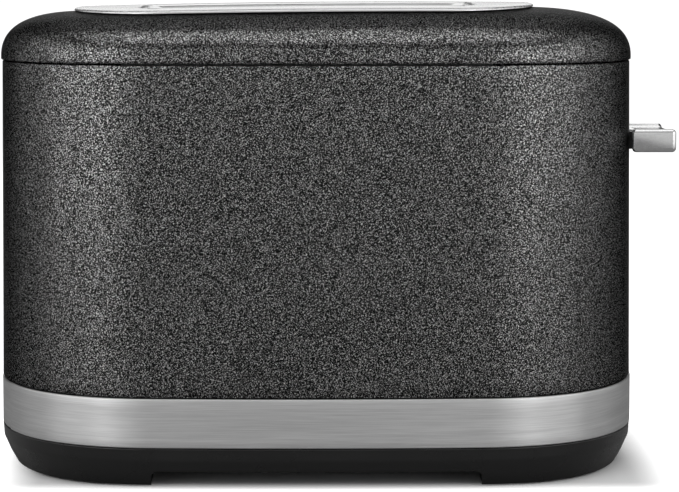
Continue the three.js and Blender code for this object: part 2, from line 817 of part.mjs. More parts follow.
function liftStop() {
  const [low, high] = [carriageTop + bushOverhang + highLift + 1, upperBracketHeight - fitGap];
  const [inner, outer] = [rodRadius + 0.3, rodRadius + 3];
  return turned([[inner, low], [outer, low], [outer, high], [inner, high], [inner, low]], 14);
}

// A coil of wire rising at a steady pitch.
class CoilCurve extends THREE.Curve {
  constructor(radius, height, turns) {
    super();
    Object.assign(this, { radius, height, turns });
  }

  getPoint(share, target = new THREE.Vector3()) {
    const angle = 2 * Math.PI * this.turns * share;
    const [x, y] = [Math.cos(angle), Math.sin(angle)];
    return target.set(this.radius * x, this.radius * y, this.height * share);
  }
}

function liftSpring() {
  const wireRadius = 0.6;
  const height = upperBracketHeight - carriageTop - 2 * (wireRadius + fitGap);
  const turns = 6;
  const section = new THREE.Shape();
  section.absarc(0, 0, wireRadius, 0, 2 * Math.PI);
  const spring = new THREE.ExtrudeGeometry(section, {
    extrudePath: new CoilCurve(4.5, height, turns),
    steps: turns * 8,
    curveSegments: 3,
  });
  return spring.translate(0, 0, carriageTop + wireRadius + fitGap);
}

// ---------------------------------------------------------------- magnet, board, cord way

function magnetCore() {
  const foot = panFloor + fitGap;
  return turned([[0, foot], [10, foot], [10, foot + 2], [3.8, foot + 2], [3.8, magnetTop],
    [0, magnetTop]], 16);
}

function magnetCoil() {
  const [low, high] = [panFloor + 2 * fitGap + 2, magnetTop - 2.5];
  return turned([[4.1, low], [9, low], [9, high], [4.1, high], [4.1, low]], 16);
}

// A rubber bush in the rear of the base, with the cord's way through it.
function cordGland() {
  const end = glandNeckLength + 1.2;
  const profile = [[glandBore, 0], [glandNeck, 0], [glandNeck, glandNeckLength],
    [glandFlange, glandNeckLength], [glandFlange, end], [glandBore, end], [glandBore, 0]];
  return turned(profile, 16).rotateY(-Math.PI / 2);
}

function baseScrew() {
  const head = notchHeight - fitGap;
  return turned([[0, head - 2.4], [3, head - 2.4], [screwHeadRadius, head - 1.6],
    [screwHeadRadius, head], [screwRadius, head], [screwRadius, chamberFloorTop + 2.5],
    [0, chamberFloorTop + 3.5]], 12);
}

function contactBlock() {
  const y = -rodOffset - 8;
  const body = box(rodX + 12, rodX + 28, y - 7, y + 7, panFloor + fitGap, panFloor + 24);
  const groove = box(rodX + 10, rodX + 30, y - 2, y + 2, panFloor + 16, panFloor + 30);
  return cut(body, groove);
}

// ---------------------------------------------------------------- controls

// Moves a piece drawn on the pod's own face, X outwards, to its place on the body.
const podAngle = bodyPlan.facingAt(leverLength / 2 + podLeverGap);
const podOrigin = bodyPlan.pointFacing(podAngle);
function onPodFace(geometry) {
  return geometry.rotateZ(podAngle).translate(podOrigin.x, podOrigin.y, 0);
}

const podBottom = wallBottom + (wallHeight - podHeight) / 2 + podLift;
const dialMiddle = podBottom + dialHeight;
const lowestButton = dialMiddle + dialRadius + buttonDialGap;
const highestButton = podBottom + podHeight - buttonTopMargin;
const buttonPitch = (highestButton - lowestButton) / (buttonNames.length - 1);
const buttonHeight = buttonPitch - buttonGap;
const buttonMiddles = buttonNames.map((_, i) => lowestButton + i * buttonPitch);
const boardFace = -podDepth - 8;

function controlPod() {
  const bevel = 1.2;
  const middle = podBottom + podHeight / 2;
  const shape = roundedRectangle(0, middle, 2 * (podHalfWidth - bevel), podHeight - 2 * bevel, 5);
  const body = new THREE.ExtrudeGeometry(shape, {
    depth: podDepth + podStand - 2 * bevel,
    bevelSize: bevel,
    bevelThickness: bevel,
    bevelSegments: 2,
    curveSegments: 4,
  });
  body.translate(0, 0, bevel - podDepth).applyMatrix4(faceForward);
  const holes = buttonMiddles.map((z) => {
    const [wide, high] = [buttonWidth / 2 + 0.35, buttonHeight / 2 + 0.35];
    return box(-20, 20, -wide, wide, z - high, z + high);
  });
  return cut(body, bar(-20, 20, 0, dialMiddle, 3.6), ...holes);
}

// The shade dial: a skirt, a grip and a shaft, with a raised pointer on its face.
function shadeDial() {
  const [skirt, face] = [podStand + 0.5, 7];
  const profile = [[0, -podDepth - 1.7], [3, -podDepth - 1.7], [3, skirt], [dialRadius, skirt],
    [dialRadius, skirt + 1.6], [dialRadius - 1.4, skirt + 2], [dialRadius - 2, face - 0.7],
    [dialRadius - 2.7, face], [0, face]];
  const knob = turned(profile, 24).applyMatrix4(faceForward);
  return join(knob, box(face - 0.5, face + 0.6, -0.9, 0.9, 2, dialRadius - 3));
}

// A button: its cap, the flange that keeps it in the pod, and the stem to its switch.
function pushButton() {
  const cap = new RoundedBoxGeometry(7, buttonWidth, buttonHeight, 2, 0.9);
  cap.translate(podStand + buttonStand - 3.5, 0, 0);
  const [wide, high] = [buttonWidth / 2, buttonHeight / 2];
  const neck = box(-podDepth - 0.5, -3, -wide, wide, -high, high);
  const flange = box(-podDepth - 1.3, -podDepth - fitGap, -wide - 1.3, wide + 1.3, -high - 1,
    high + 1);
  const stem = box(boardFace + 3 + fitGap + buttonTravel, -podDepth - 1, -2, 2, -2, 2);
  return join(cap, neck, flange, stem);
}

function controlBoard() {
  const half = podHalfWidth + boardMargin;
  return box(boardFace - 1.6, boardFace, -half, half, podBottom + boardMargin,
    podBottom + podHeight - boardMargin);
}

// ---------------------------------------------------------------- assembly

const toaster = new THREE.Group();
toaster.position.x = (halfLength - fasciaInset - leverTip) / 2;

function add(parent, name, geometry, material, x = 0, y = 0, z = 0) {
  const mesh = new THREE.Mesh(geometry, material);
  mesh.name = name;
  mesh.position.set(x, y, z);
  parent.add(mesh);
}

function addOuterPieces() {
  add(toaster, "base_pan", basePan(), blackPlastic);
  add(toaster, "trim_band", trimBand(), brushedSteel);
  add(toaster, "side_shell", sideShell(), paint);
  add(toaster, "top_cover", topCover(), paint);
  add(toaster, "slot_plate", slotPlate(), brushedSteel);
  const corners = ["rear_left", "rear_right", "front_left", "front_right"];
  padPlaces().forEach(([x, y], i) => {
    const pad = post(0, 0, 0, footClearance + 1.5, padRadius, 20);
    add(toaster, `foot_pad_${corners[i]}`, pad, rubber, x, y);
  });
  posts.forEach(([x, y], i) => {
    add(toaster, `base_screw_${corners[i]}`, baseScrew(), darkSteel, x, y);
  });
  add(toaster, "cord_gland", cordGland(), rubber, glandX, 0, glandHeight);
}

function addCrumbTray() {
  add(toaster, "crumb_tray", crumbTray(), galvanised);
  add(toaster, "tray_carrier", trayCarrier(), blackPlastic);
  add(toaster, "tray_fascia", trayFascia(), brushedSteel);
}

function addChassis() {
  add(toaster, "chassis_floor", chassisFloor(), galvanised);
  add(toaster, "chassis_front", chassisEnd(chamberFront, bracketHeight), galvanised);
  add(toaster, "chassis_rear", chassisEnd(chamberRear, chamberFloorHeight), galvanised);
  add(toaster, "reflector_left", reflector(), galvanised, 0, -reflectorOffset - chassisSheet);
  add(toaster, "reflector_right", reflector(), galvanised, 0, reflectorOffset);
  add(toaster, "heater_card_left", heaterCard(), mica, 0, -outerCardOffset);
  add(toaster, "heater_card_centre", heaterCard(), mica);
  add(toaster, "heater_card_right", heaterCard(), mica, 0, outerCardOffset);
  for (const { name, y } of guidePlaces()) {
    add(toaster, name, breadGuide(), wire, 0, y, guidePivotHeight);
  }
}

function addCarriage() {
  slotCentres.forEach((y, i) => {
    add(toaster, `bread_rack_${i === 0 ? "left" : "right"}`, breadRack(), wire, 0, y);
  });
  add(toaster, "carriage_plate", carriagePlate(), galvanised);
  add(toaster, "lever_arm", leverArm(), blackPlastic);
  add(toaster, "lever_knob", leverKnob(), satinZinc);
  add(toaster, "lever_slot_trim", leverSlotTrim(), blackPlastic);
  add(toaster, "lift_spring", liftSpring(), darkSteel, rodX);
  [-rodOffset, rodOffset].forEach((y, i) => {
    const side = i === 0 ? "left" : "right";
    const rod = post(0, 0, bracketHeight - 1, upperBracketHeight + 3, rodRadius, 12);
    add(toaster, `guide_rod_${side}`, rod, wire, rodX, y);
    add(toaster, `carriage_bush_${side}`, carriageBush(), copper, rodX, y);
    add(toaster, `lift_stop_${side}`, liftStop(), rubber, rodX, y);
  });
  add(toaster, "rod_bracket_lower", rodBracket(bracketHeight), galvanised);
  add(toaster, "rod_bracket_upper", rodBracket(upperBracketHeight), galvanised);
  const armature = box(-7, 7, -7, 7, -armatureSheet, 0);
  add(toaster, "armature", armature, darkSteel, magnetX, 0, carriageBottom - fitGap);
  add(toaster, "magnet_core", magnetCore(), darkSteel, magnetX);
  add(toaster, "magnet_coil", magnetCoil(), copper, magnetX);
  add(toaster, "contact_block", contactBlock(), blackPlastic);
}

function addControls() {
  const pod = new THREE.Group();
  pod.position.copy(podOrigin);
  pod.rotation.z = podAngle;
  toaster.add(pod);
  add(pod, "control_pod", controlPod(), blackPlastic);
  add(pod, "shade_dial", shadeDial(), satinZinc, 0, 0, dialMiddle);
  add(pod, "control_board", controlBoard(), boardGreen);
  const [potBack, potFront] = [boardFace + fitGap, boardFace + 6];
  add(pod, "shade_pot", box(potBack, potFront, -7, 7, -7, 7), darkSteel, 0, 0, dialMiddle);
  buttonMiddles.forEach((z, i) => {
    add(pod, buttonNames[i], pushButton(), satinZinc, 0, 0, z);
    const key = box(boardFace + fitGap, boardFace + 3, -3, 3, -3, 3);
    add(pod, buttonNames[i].replace("button", "switch"), key, blackPlastic, 0, 0, z);
  });
}

addOuterPieces();
addCrumbTray();
addChassis();
addCarriage();
addControls();

const object = new THREE.Group();
object.add(toaster);
export default object;
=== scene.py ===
# Pop-up toaster with a textured black body, a brushed band and a raised slot plate.
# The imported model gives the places; this file adds the fine surfaces, finishes and studio.

import math

import bmesh
import bpy
import numpy as np
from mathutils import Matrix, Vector


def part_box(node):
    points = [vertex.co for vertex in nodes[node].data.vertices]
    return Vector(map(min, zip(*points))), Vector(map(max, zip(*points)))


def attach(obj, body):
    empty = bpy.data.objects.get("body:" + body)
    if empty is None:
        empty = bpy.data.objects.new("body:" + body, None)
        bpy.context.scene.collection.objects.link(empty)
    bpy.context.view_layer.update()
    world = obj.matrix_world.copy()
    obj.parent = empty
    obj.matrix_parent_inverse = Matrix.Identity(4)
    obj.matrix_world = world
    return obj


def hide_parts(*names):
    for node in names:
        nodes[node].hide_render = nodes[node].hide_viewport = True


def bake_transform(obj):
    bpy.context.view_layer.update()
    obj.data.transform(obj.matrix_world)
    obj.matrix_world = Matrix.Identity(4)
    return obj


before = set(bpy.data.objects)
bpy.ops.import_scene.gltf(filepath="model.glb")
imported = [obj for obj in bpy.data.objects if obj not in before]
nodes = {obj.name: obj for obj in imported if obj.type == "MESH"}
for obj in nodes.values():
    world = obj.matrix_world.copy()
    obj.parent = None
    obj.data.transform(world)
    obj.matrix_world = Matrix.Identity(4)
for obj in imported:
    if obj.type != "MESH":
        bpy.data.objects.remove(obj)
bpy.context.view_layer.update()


# outlines

body = {"length": 0.275, "width": 0.176, "sideRadius": 1.212, "endRadius": 0.1064,
        "cornerRadius": 0.067}
body["middle"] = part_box("trim_band")[1][0] - body["length"] / 2  # the lever shifts it off centre
plate = {"length": 0.1985, "width": 0.110, "sideRadius": 1.5, "endRadius": 0.130,
         "cornerRadius": 0.042, "middle": body["middle"] - 0.00525}
slot = {"length": 0.142, "width": 0.034, "sideRadius": 9.0, "endRadius": 0.2,
        "cornerRadius": 0.008, "middle": body["middle"] - 0.004, "pitch": 0.050}
crown = {"top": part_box("slot_plate")[1][2] - 0.002, "forward": 0.036, "longRadius": 4.5,
         "wideRadius": 0.66}


def planArcs(plan):
    # the corner circle touches the side and end circles from inside
    end = np.array([plan["length"] / 2 - plan["endRadius"], 0.0])
    side = np.array([0.0, plan["width"] / 2 - plan["sideRadius"]])
    fromSide = plan["sideRadius"] - plan["cornerRadius"]
    fromEnd = plan["endRadius"] - plan["cornerRadius"]
    apart = math.dist(end, side)
    along = (fromSide ** 2 - fromEnd ** 2 + apart ** 2) / (2 * apart)
    across = math.sqrt(max(0.0, fromSide ** 2 - along ** 2))
    way = (end - side) / apart
    corner = side + way * along + np.array([way[1], -way[0]]) * across
    toEnd = math.atan2(*(corner - end)[::-1])
    toSide = math.atan2(*(corner - side)[::-1])
    return end, corner, side, toEnd, toSide


def outline(plan, turn, inset=0.0):
    # each point lies on its arc's circle in the direction turn, drawn inwards by inset
    end, corner, side, toEnd, toSide = planArcs(plan)
    ahead, up = np.cos(turn), np.sin(turn)
    folded = np.arctan2(np.abs(up), np.abs(ahead))
    where = [folded < toEnd, folded < toSide]
    centreX = np.select(where, [end[0], corner[0]], side[0])
    centreY = np.select(where, [end[1], corner[1]], side[1])
    radii = [plan["endRadius"], plan["cornerRadius"]]
    radius = np.select(where, radii, plan["sideRadius"]) - inset
    x = plan["middle"] + np.sign(ahead) * centreX + radius * ahead
    y = np.sign(up) * centreY + radius * up
    return x, y


def turnsAround(plan, steps=(14, 26, 10)):
    # directions round the outline, each arc cut into its own number of equal steps
    *_, toEnd, toSide = planArcs(plan)
    cuts = [0.0, toEnd, toSide, math.pi / 2]
    arcs = [np.linspace(a, b, n, endpoint=False) for a, b, n in zip(cuts, cuts[1:], steps)]
    quarter = np.concatenate(arcs)
    back = math.pi - np.append(quarter, math.pi / 2)[::-1][:-1]
    half = np.concatenate([quarter, back])
    return np.concatenate([half, half + math.pi])


def runLength(x, y):
    return np.concatenate([[0.0], np.cumsum(np.hypot(np.diff(x), np.diff(y)))])


def crownHeight(x, y):
    # a shallow dish turned over: it falls with the square of the distance each way
    fromTop = x - body["middle"] - crown["forward"]
    return crown["top"] - fromTop ** 2 / (2 * crown["longRadius"]) - y ** 2 / (2 * crown["wideRadius"])


def edgeRoll(radius, steps=4):
    # a quarter turn from an edge's underside to its upright face: [inset, height] pairs
    turn = np.linspace(0, math.pi / 2, steps)
    return np.stack([radius * (1 - np.sin(turn)), radius * (1 - np.cos(turn))], 1)


# making pieces

def gridMesh(name, points, uAt, vAt, ring=False, keep=None):
    # rows and columns of points joined by quads; ring joins the last column to the first
    rows, cols = points.shape[:2]
    i, j = np.meshgrid(np.arange(rows - 1), np.arange(cols if ring else cols - 1), indexing="ij")
    after = (j + 1) % cols
    quads = np.stack([i * cols + j, i * cols + after, (i + 1) * cols + after, (i + 1) * cols + j], -1)
    u = np.stack([uAt[j], uAt[j + 1], uAt[j + 1], uAt[j]], -1)
    v = np.stack([vAt[i], vAt[i], vAt[i + 1], vAt[i + 1]], -1)
    mask = np.ones(i.shape, bool) if keep is None else keep
    quads, u, v = quads[mask], u[mask], v[mask]
    used, quads = np.unique(quads, return_inverse=True)
    mesh = bpy.data.meshes.new(name)
    mesh.from_pydata(points.reshape(-1, 3)[used].tolist(), [], quads.reshape(-1, 4).tolist())
    layer = mesh.uv_layers.new(name="along")
    layer.data.foreach_set("uv", np.stack([u, v], -1).ravel())
    return mesh


def tubeMesh(name, rings):
    # a stack of closed rings skinned with quads, its two ends closed by one flat face each
    count, sides = rings.shape[:2]
    i, j = np.meshgrid(np.arange(count - 1), np.arange(sides), indexing="ij")
    after = (j + 1) % sides
    quads = np.stack([i * sides + j, i * sides + after, (i + 1) * sides + after, (i + 1) * sides + j], -1)
    caps = [list(range(sides))[::-1], list(range((count - 1) * sides, count * sides))]
    mesh = bpy.data.meshes.new(name)
    mesh.from_pydata(rings.reshape(-1, 3).tolist(), [], quads.reshape(-1, 4).tolist() + caps)
    return mesh


def joinMeshes(name, meshes, mergeWithin=None):
    work = bmesh.new()
    for mesh in meshes:
        work.from_mesh(mesh)
        bpy.data.meshes.remove(mesh)
    if mergeWithin:
        bmesh.ops.remove_doubles(work, verts=work.verts, dist=mergeWithin)
    joined = bpy.data.meshes.new(name)
    work.to_mesh(joined)
    work.free()
    return joined


def piece(name, mesh, material, bodyName="housing", wall=None, closed=False, sharp=32,
          replaces=(), stretch=None):
    # wall: the thickness that Solidify gives a skin, inwards; sharp: edges steeper than this stay crisp
    made = bpy.data.objects.new(name, mesh)
    bpy.context.scene.collection.objects.link(made)
    if closed:
        work = bmesh.new()
        work.from_mesh(mesh)
        bmesh.ops.recalc_face_normals(work, faces=work.faces)
        work.to_mesh(mesh)
        work.free()
    if wall:
        thick = made.modifiers.new("wall", "SOLIDIFY")
        thick.thickness, thick.offset = wall, -1
        bpy.context.view_layer.update()
        solid = bpy.data.meshes.new_from_object(made.evaluated_get(bpy.context.evaluated_depsgraph_get()))
        made.modifiers.clear()
        made.data = solid
        solid.name = name
        bpy.data.meshes.remove(mesh)
    made.data.shade_smooth()
    made.data.set_sharp_from_angle(angle=math.radians(sharp))
    made.data.materials.clear()
    made.data.materials.append(material)
    if stretch:
        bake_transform(made)
    else:
        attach(made, bodyName)
    if replaces:
        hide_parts(*replaces)
    return made


def dress(material, *names):
    for name in names:
        shown = nodes[name]
        for place in shown.material_slots:
            place.material = material


# shader groups

def newGroup(name, inputs, outputs):
    group = bpy.data.node_groups.new(name, "ShaderNodeTree")
    for label, kind, value in inputs:
        socket = group.interface.new_socket(label, in_out="INPUT", socket_type=kind)
        if value is not None:
            socket.default_value = value
    for label, kind in outputs:
        group.interface.new_socket(label, in_out="OUTPUT", socket_type=kind)
    return group, group.nodes.new("NodeGroupInput"), group.nodes.new("NodeGroupOutput")


def mathNode(tree, operation, first, second=None, third=None):
    made = tree.nodes.new("ShaderNodeMath")
    made.operation = operation
    for place, value in enumerate((first, second, third)):
        if value is None:
            continue
        if isinstance(value, (int, float)):
            made.inputs[place].default_value = value
        else:
            tree.links.new(value, made.inputs[place])
    return made.outputs[0]


def noiseNode(tree, vector, scale, detail=2.0, rough=0.5):
    made = tree.nodes.new("ShaderNodeTexNoise")
    made.inputs["Detail"].default_value = detail
    made.inputs["Roughness"].default_value = rough
    if isinstance(scale, (int, float)):
        made.inputs["Scale"].default_value = scale
    else:
        tree.links.new(scale, made.inputs["Scale"])
    tree.links.new(vector, made.inputs["Vector"])
    return made.outputs["Fac"]


def rampNode(tree, value, low, high, fromLow=0.0, fromHigh=1.0):
    made = tree.nodes.new("ShaderNodeMapRange")
    made.interpolation_type = "SMOOTHSTEP"
    tree.links.new(value, made.inputs["Value"])
    for label, amount in (("From Min", fromLow), ("From Max", fromHigh), ("To Min", low), ("To Max", high)):
        if isinstance(amount, (int, float)):
            made.inputs[label].default_value = amount
        else:
            tree.links.new(amount, made.inputs[label])
    return made.outputs["Result"]


def mixColour(tree, factor, first, second):
    made = tree.nodes.new("ShaderNodeMix")
    made.data_type = "RGBA"
    for label, value in (("Factor", factor), ("A", first), ("B", second)):
        socket = [s for s in made.inputs if s.name == label and s.enabled][0]
        if isinstance(value, (tuple, list)):
            socket.default_value = (*value, 1.0) if len(value) == 3 else value
        elif isinstance(value, (int, float)):
            socket.default_value = value
        else:
            tree.links.new(value, socket)
    return [s for s in made.outputs if s.enabled][0]


speck = {"turn": (0.7, 0.5, 0.4), "coarseScale": 0.5, "coarseShare": 0.75, "fineShare": 0.45,
         "start": 0.66, "base": 0.6, "driftScale": 18.0}


def speckGroup():
    # the pimpled skin of a textured powder coat: a height, and a mask of the specks that catch light
    group, source, result = newGroup(
        "powderSpeck",
        [("Vector", "NodeSocketVector", None), ("Grain", "NodeSocketFloat", 900.0),
         ("Sharpness", "NodeSocketFloat", 0.12)],
        [("Height", "NodeSocketFloat"), ("Specks", "NodeSocketFloat"), ("Drift", "NodeSocketFloat")])
    # turned, so that the noise's own rows never lie along a wall
    turned = group.nodes.new("ShaderNodeMapping")
    turned.inputs["Rotation"].default_value = speck["turn"]
    group.links.new(source.outputs["Vector"], turned.inputs["Vector"])
    fine = noiseNode(group, turned.outputs["Vector"], source.outputs["Grain"], 3.0, 0.6)
    coarse = noiseNode(group, turned.outputs["Vector"],
                       mathNode(group, "MULTIPLY", source.outputs["Grain"], speck["coarseScale"]), 2.0, 0.5)
    both = mathNode(group, "MULTIPLY_ADD", coarse, speck["coarseShare"],
                    mathNode(group, "MULTIPLY", fine, speck["fineShare"]))
    edge = mathNode(group, "ADD", speck["base"], source.outputs["Sharpness"])
    specks = rampNode(group, both, 0.0, 1.0, speck["start"], edge)
    drift = noiseNode(group, source.outputs["Vector"], speck["driftScale"], 3.0, 0.5)
    group.links.new(both, result.inputs["Height"])
    group.links.new(specks, result.inputs["Specks"])
    group.links.new(drift, result.inputs["Drift"])
    return group


def brushGroup():
    # fine straight marks: noise drawn out along the first axis of the vector it is given
    group, source, result = newGroup(
        "brushMarks",
        [("Vector", "NodeSocketVector", None), ("Marks", "NodeSocketFloat", 2600.0),
         ("Length", "NodeSocketFloat", 0.03)],
        [("Height", "NodeSocketFloat"), ("Tone", "NodeSocketFloat"), ("Cloud", "NodeSocketFloat")])
    squash = group.nodes.new("ShaderNodeVectorMath")
    squash.operation = "MULTIPLY"
    stretch = group.nodes.new("ShaderNodeCombineXYZ")
    group.links.new(source.outputs["Length"], stretch.inputs["X"])
    stretch.inputs["Y"].default_value = 1.0
    stretch.inputs["Z"].default_value = 1.0
    group.links.new(source.outputs["Vector"], squash.inputs[0])
    group.links.new(stretch.outputs[0], squash.inputs[1])
    fine = noiseNode(group, squash.outputs[0], source.outputs["Marks"], 2.0, 0.6)
    broad = noiseNode(group, squash.outputs[0],
                      mathNode(group, "MULTIPLY", source.outputs["Marks"], 0.22), 3.0, 0.6)
    both = mathNode(group, "MULTIPLY_ADD", broad, 0.5, mathNode(group, "MULTIPLY", fine, 0.5))
    cloud = noiseNode(group, source.outputs["Vector"], 25.0, 3.0, 0.5)
    group.links.new(both, result.inputs["Height"])
    group.links.new(rampNode(group, both, 0.0, 1.0, 0.3, 0.7), result.inputs["Tone"])
    group.links.new(cloud, result.inputs["Cloud"])
    return group


def grainGroup():
    # the fine matt grain of a moulding, with soft uneven patches and the odd scuff
    group, source, result = newGroup(
        "mouldGrain",
        [("Vector", "NodeSocketVector", None), ("Grain", "NodeSocketFloat", 1800.0)],
        [("Height", "NodeSocketFloat"), ("Patches", "NodeSocketFloat"), ("Scuffs", "NodeSocketFloat")])
    height = noiseNode(group, source.outputs["Vector"], source.outputs["Grain"], 2.0, 0.6)
    patches = noiseNode(group, source.outputs["Vector"], 35.0, 4.0, 0.55)
    long = noiseNode(group, source.outputs["Vector"], 160.0, 6.0, 0.7)
    group.links.new(height, result.inputs["Height"])
    group.links.new(patches, result.inputs["Patches"])
    group.links.new(rampNode(group, long, 0.0, 1.0, 0.62, 0.75), result.inputs["Scuffs"])
    return group


powderSpeck, brushMarks, mouldGrain = speckGroup(), brushGroup(), grainGroup()


def blankMaterial(name):
    material = bpy.data.materials.new(name)
    material.use_nodes = True
    tree = material.node_tree
    shader = tree.nodes["Principled BSDF"]
    where = tree.nodes.new("ShaderNodeTexCoord")
    return material, tree, shader, where


def placeGroup(tree, group, vector, **values):
    made = tree.nodes.new("ShaderNodeGroup")
    made.node_tree = group
    tree.links.new(vector, made.inputs["Vector"])
    for label, value in values.items():
        made.inputs[label].default_value = value
    return made.outputs


def bumpNode(tree, shader, height, distance, strength=1.0):
    made = tree.nodes.new("ShaderNodeBump")
    made.inputs["Distance"].default_value = distance
    made.inputs["Strength"].default_value = strength
    tree.links.new(height, made.inputs["Height"])
    tree.links.new(made.outputs["Normal"], shader.inputs["Normal"])


# finishes

coat = {"dark": (0.012, 0.012, 0.012), "light": (0.84, 0.84, 0.84), "grain": 4200.0,
        "roughLow": 0.28, "roughHigh": 0.34, "depth": 0.00004, "edge": (0.0, 0.0, 0.0, 1),
        "metallic": 0.98}


def powderCoat(name):
    material, tree, shader, where = blankMaterial(name)
    skin = placeGroup(tree, powderSpeck, where.outputs["Object"], Grain=coat["grain"])
    tone = mixColour(tree, skin["Specks"], coat["dark"], coat["light"])
    tree.links.new(tone, shader.inputs["Base Color"])
    # metallic flake in black lacquer: it dims towards the edges of sight
    shader.inputs["Metallic"].default_value = coat["metallic"]
    shader.inputs["Specular Tint"].default_value = coat["edge"]
    tree.links.new(rampNode(tree, skin["Drift"], coat["roughLow"], coat["roughHigh"]),
                   shader.inputs["Roughness"])
    bumpNode(tree, shader, skin["Height"], coat["depth"])
    return material


def brushedMetal(name, dark, light, roughLow, roughHigh, marks, length, depth, followUv=False, turn=None,
                 spread=0.0):
    material, tree, shader, where = blankMaterial(name)
    vector = where.outputs["UV" if followUv else "Object"]
    if turn:
        mapping = tree.nodes.new("ShaderNodeMapping")
        mapping.inputs["Rotation"].default_value = turn
        tree.links.new(vector, mapping.inputs["Vector"])
        vector = mapping.outputs["Vector"]
    marksOut = placeGroup(tree, brushMarks, vector, Marks=marks, Length=length)
    shader.inputs["Metallic"].default_value = 1.0
    if spread:
        # reflections smear across the marks
        along = tree.nodes.new("ShaderNodeTangent")
        along.direction_type, along.uv_map = "UV_MAP", "along"
        tree.links.new(along.outputs[0], shader.inputs["Tangent"])
        shader.inputs["Anisotropic"].default_value = spread
        shader.inputs["Anisotropic Rotation"].default_value = 0.25
    tree.links.new(mixColour(tree, marksOut["Tone"], dark, light), shader.inputs["Base Color"])
    spread = mathNode(tree, "MULTIPLY_ADD", marksOut["Cloud"], 0.4,
                      mathNode(tree, "MULTIPLY", marksOut["Tone"], 0.6))
    tree.links.new(rampNode(tree, spread, roughLow, roughHigh), shader.inputs["Roughness"])
    bumpNode(tree, shader, marksOut["Height"], depth)
    return material


def moulded(name, tone, roughLow, roughHigh, grain, depth):
    material, tree, shader, where = blankMaterial(name)
    skin = placeGroup(tree, mouldGrain, where.outputs["Object"], Grain=grain)
    lighter = tuple(min(1.0, part * 1.5 + 0.004) for part in tone)
    tree.links.new(mixColour(tree, skin["Scuffs"], tone, lighter), shader.inputs["Base Color"])
    tree.links.new(rampNode(tree, skin["Patches"], roughLow, roughHigh, 0.3, 0.7),
                   shader.inputs["Roughness"])
    bumpNode(tree, shader, skin["Height"], depth)
    return material


coatBlack = powderCoat("textured_black_coat")
bandSteel = brushedMetal("band_brushed_steel", (0.64, 0.64, 0.64), (0.81, 0.81, 0.81), 0.36, 0.46,
                         2600.0, 0.02, 0.00001, followUv=True, spread=0.6)
plateSteel = brushedMetal("plate_brushed_steel", (0.6, 0.6, 0.6), (0.78, 0.78, 0.78), 0.24, 0.34,
                          2200.0, 0.03, 0.00001)
leverSatin = brushedMetal("lever_satin_zinc", (0.68, 0.68, 0.68), (0.8, 0.8, 0.8), 0.11, 0.17,
                          3200.0, 0.08, 0.000004, turn=(0, 0, math.pi / 2))
dialSatin = brushedMetal("dial_satin_zinc", (0.5, 0.5, 0.5), (0.64, 0.64, 0.64), 0.2, 0.32,
                         3200.0, 0.3, 0.00001)
sheetSteel = brushedMetal("chassis_sheet_steel", (0.36, 0.37, 0.38), (0.6, 0.61, 0.62), 0.3, 0.5,
                          260.0, 0.6, 0.00002)
wireSteel = brushedMetal("bright_wire", (0.5, 0.5, 0.5), (0.68, 0.68, 0.68), 0.16, 0.28,
                         900.0, 0.4, 0.00001)
darkIron = brushedMetal("oiled_iron", (0.1, 0.1, 0.11), (0.22, 0.22, 0.23), 0.3, 0.5,
                        700.0, 0.5, 0.00002)
windingCopper = brushedMetal("winding_copper", (0.4, 0.16, 0.06), (0.72, 0.36, 0.18), 0.25, 0.45,
                             5000.0, 1.0, 0.00004)
bushBrass = brushedMetal("turned_brass", (0.5, 0.33, 0.12), (0.75, 0.55, 0.25), 0.2, 0.35,
                         3000.0, 1.0, 0.00001)
ribbonAlloy = brushedMetal("heating_ribbon", (0.22, 0.19, 0.17), (0.46, 0.42, 0.38), 0.3, 0.5,
                           600.0, 0.3, 0.00001)
basePlastic = moulded("base_black_plastic", (0.01, 0.01, 0.01), 0.22, 0.34, 2400.0, 0.00001)
podPlastic = moulded("pod_black_plastic", (0.012, 0.012, 0.012), 0.26, 0.4, 2400.0, 0.00001)
padRubber = moulded("pad_rubber", (0.018, 0.018, 0.018), 0.7, 0.9, 1600.0, 0.00005)
micaSheet = moulded("mica_sheet", (0.42, 0.34, 0.2), 0.35, 0.7, 500.0, 0.00006)
boardGreen = moulded("board_lacquer", (0.012, 0.09, 0.035), 0.25, 0.5, 700.0, 0.00002)
whiteMark = moulded("white_marks", (0.7, 0.7, 0.68), 0.4, 0.6, 2000.0, 0.00001)
print("finishes made")


# dome

dome = {"bottom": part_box("top_cover")[0][2], "inset": 0.001, "roll": 0.0005, "rim": 0.0014,
        "rise": 0.0117, "shoulder": 0.0095, "lift": 0.0005, "rearLift": 0.0008, "overlap": 0.004,
        "wall": 0.0013}


def domePoints(turn):
    # each line rises from the rim on a cubic curve, upright at its foot, to the seat under the plate
    footX, footY = outline(body, turn, dome["inset"])
    headX, headY = outline(plate, turn, dome["overlap"])
    foot = np.stack([footX, footY, np.full_like(footX, dome["bottom"] + dome["rim"])], -1)
    head = np.stack([headX, headY, crownHeight(headX, headY)], -1)
    reach = np.hypot(headX - footX, headY - footY)[:, None]
    second = foot + [0, 0, dome["rise"]]
    third = foot + (head - foot) * dome["shoulder"] / reach
    toRear = np.clip(-np.cos(turn), 0, 1)
    third[:, 2] = crownHeight(footX, footY) + dome["lift"] + dome["rearLift"] * toRear
    t = np.linspace(0, 1, 34)[:, None, None]
    curve = (1 - t) ** 3 * foot + 3 * t * (1 - t) ** 2 * second + 3 * t ** 2 * (1 - t) * third + t ** 3 * head
    rows = []
    for inward, up in edgeRoll(dome["roll"]):
        x, y = outline(body, turn, dome["inset"] + inward)
        rows.append(np.stack([x, y, np.full_like(x, dome["bottom"] + up)], -1))
    return np.concatenate([np.stack(rows), curve])


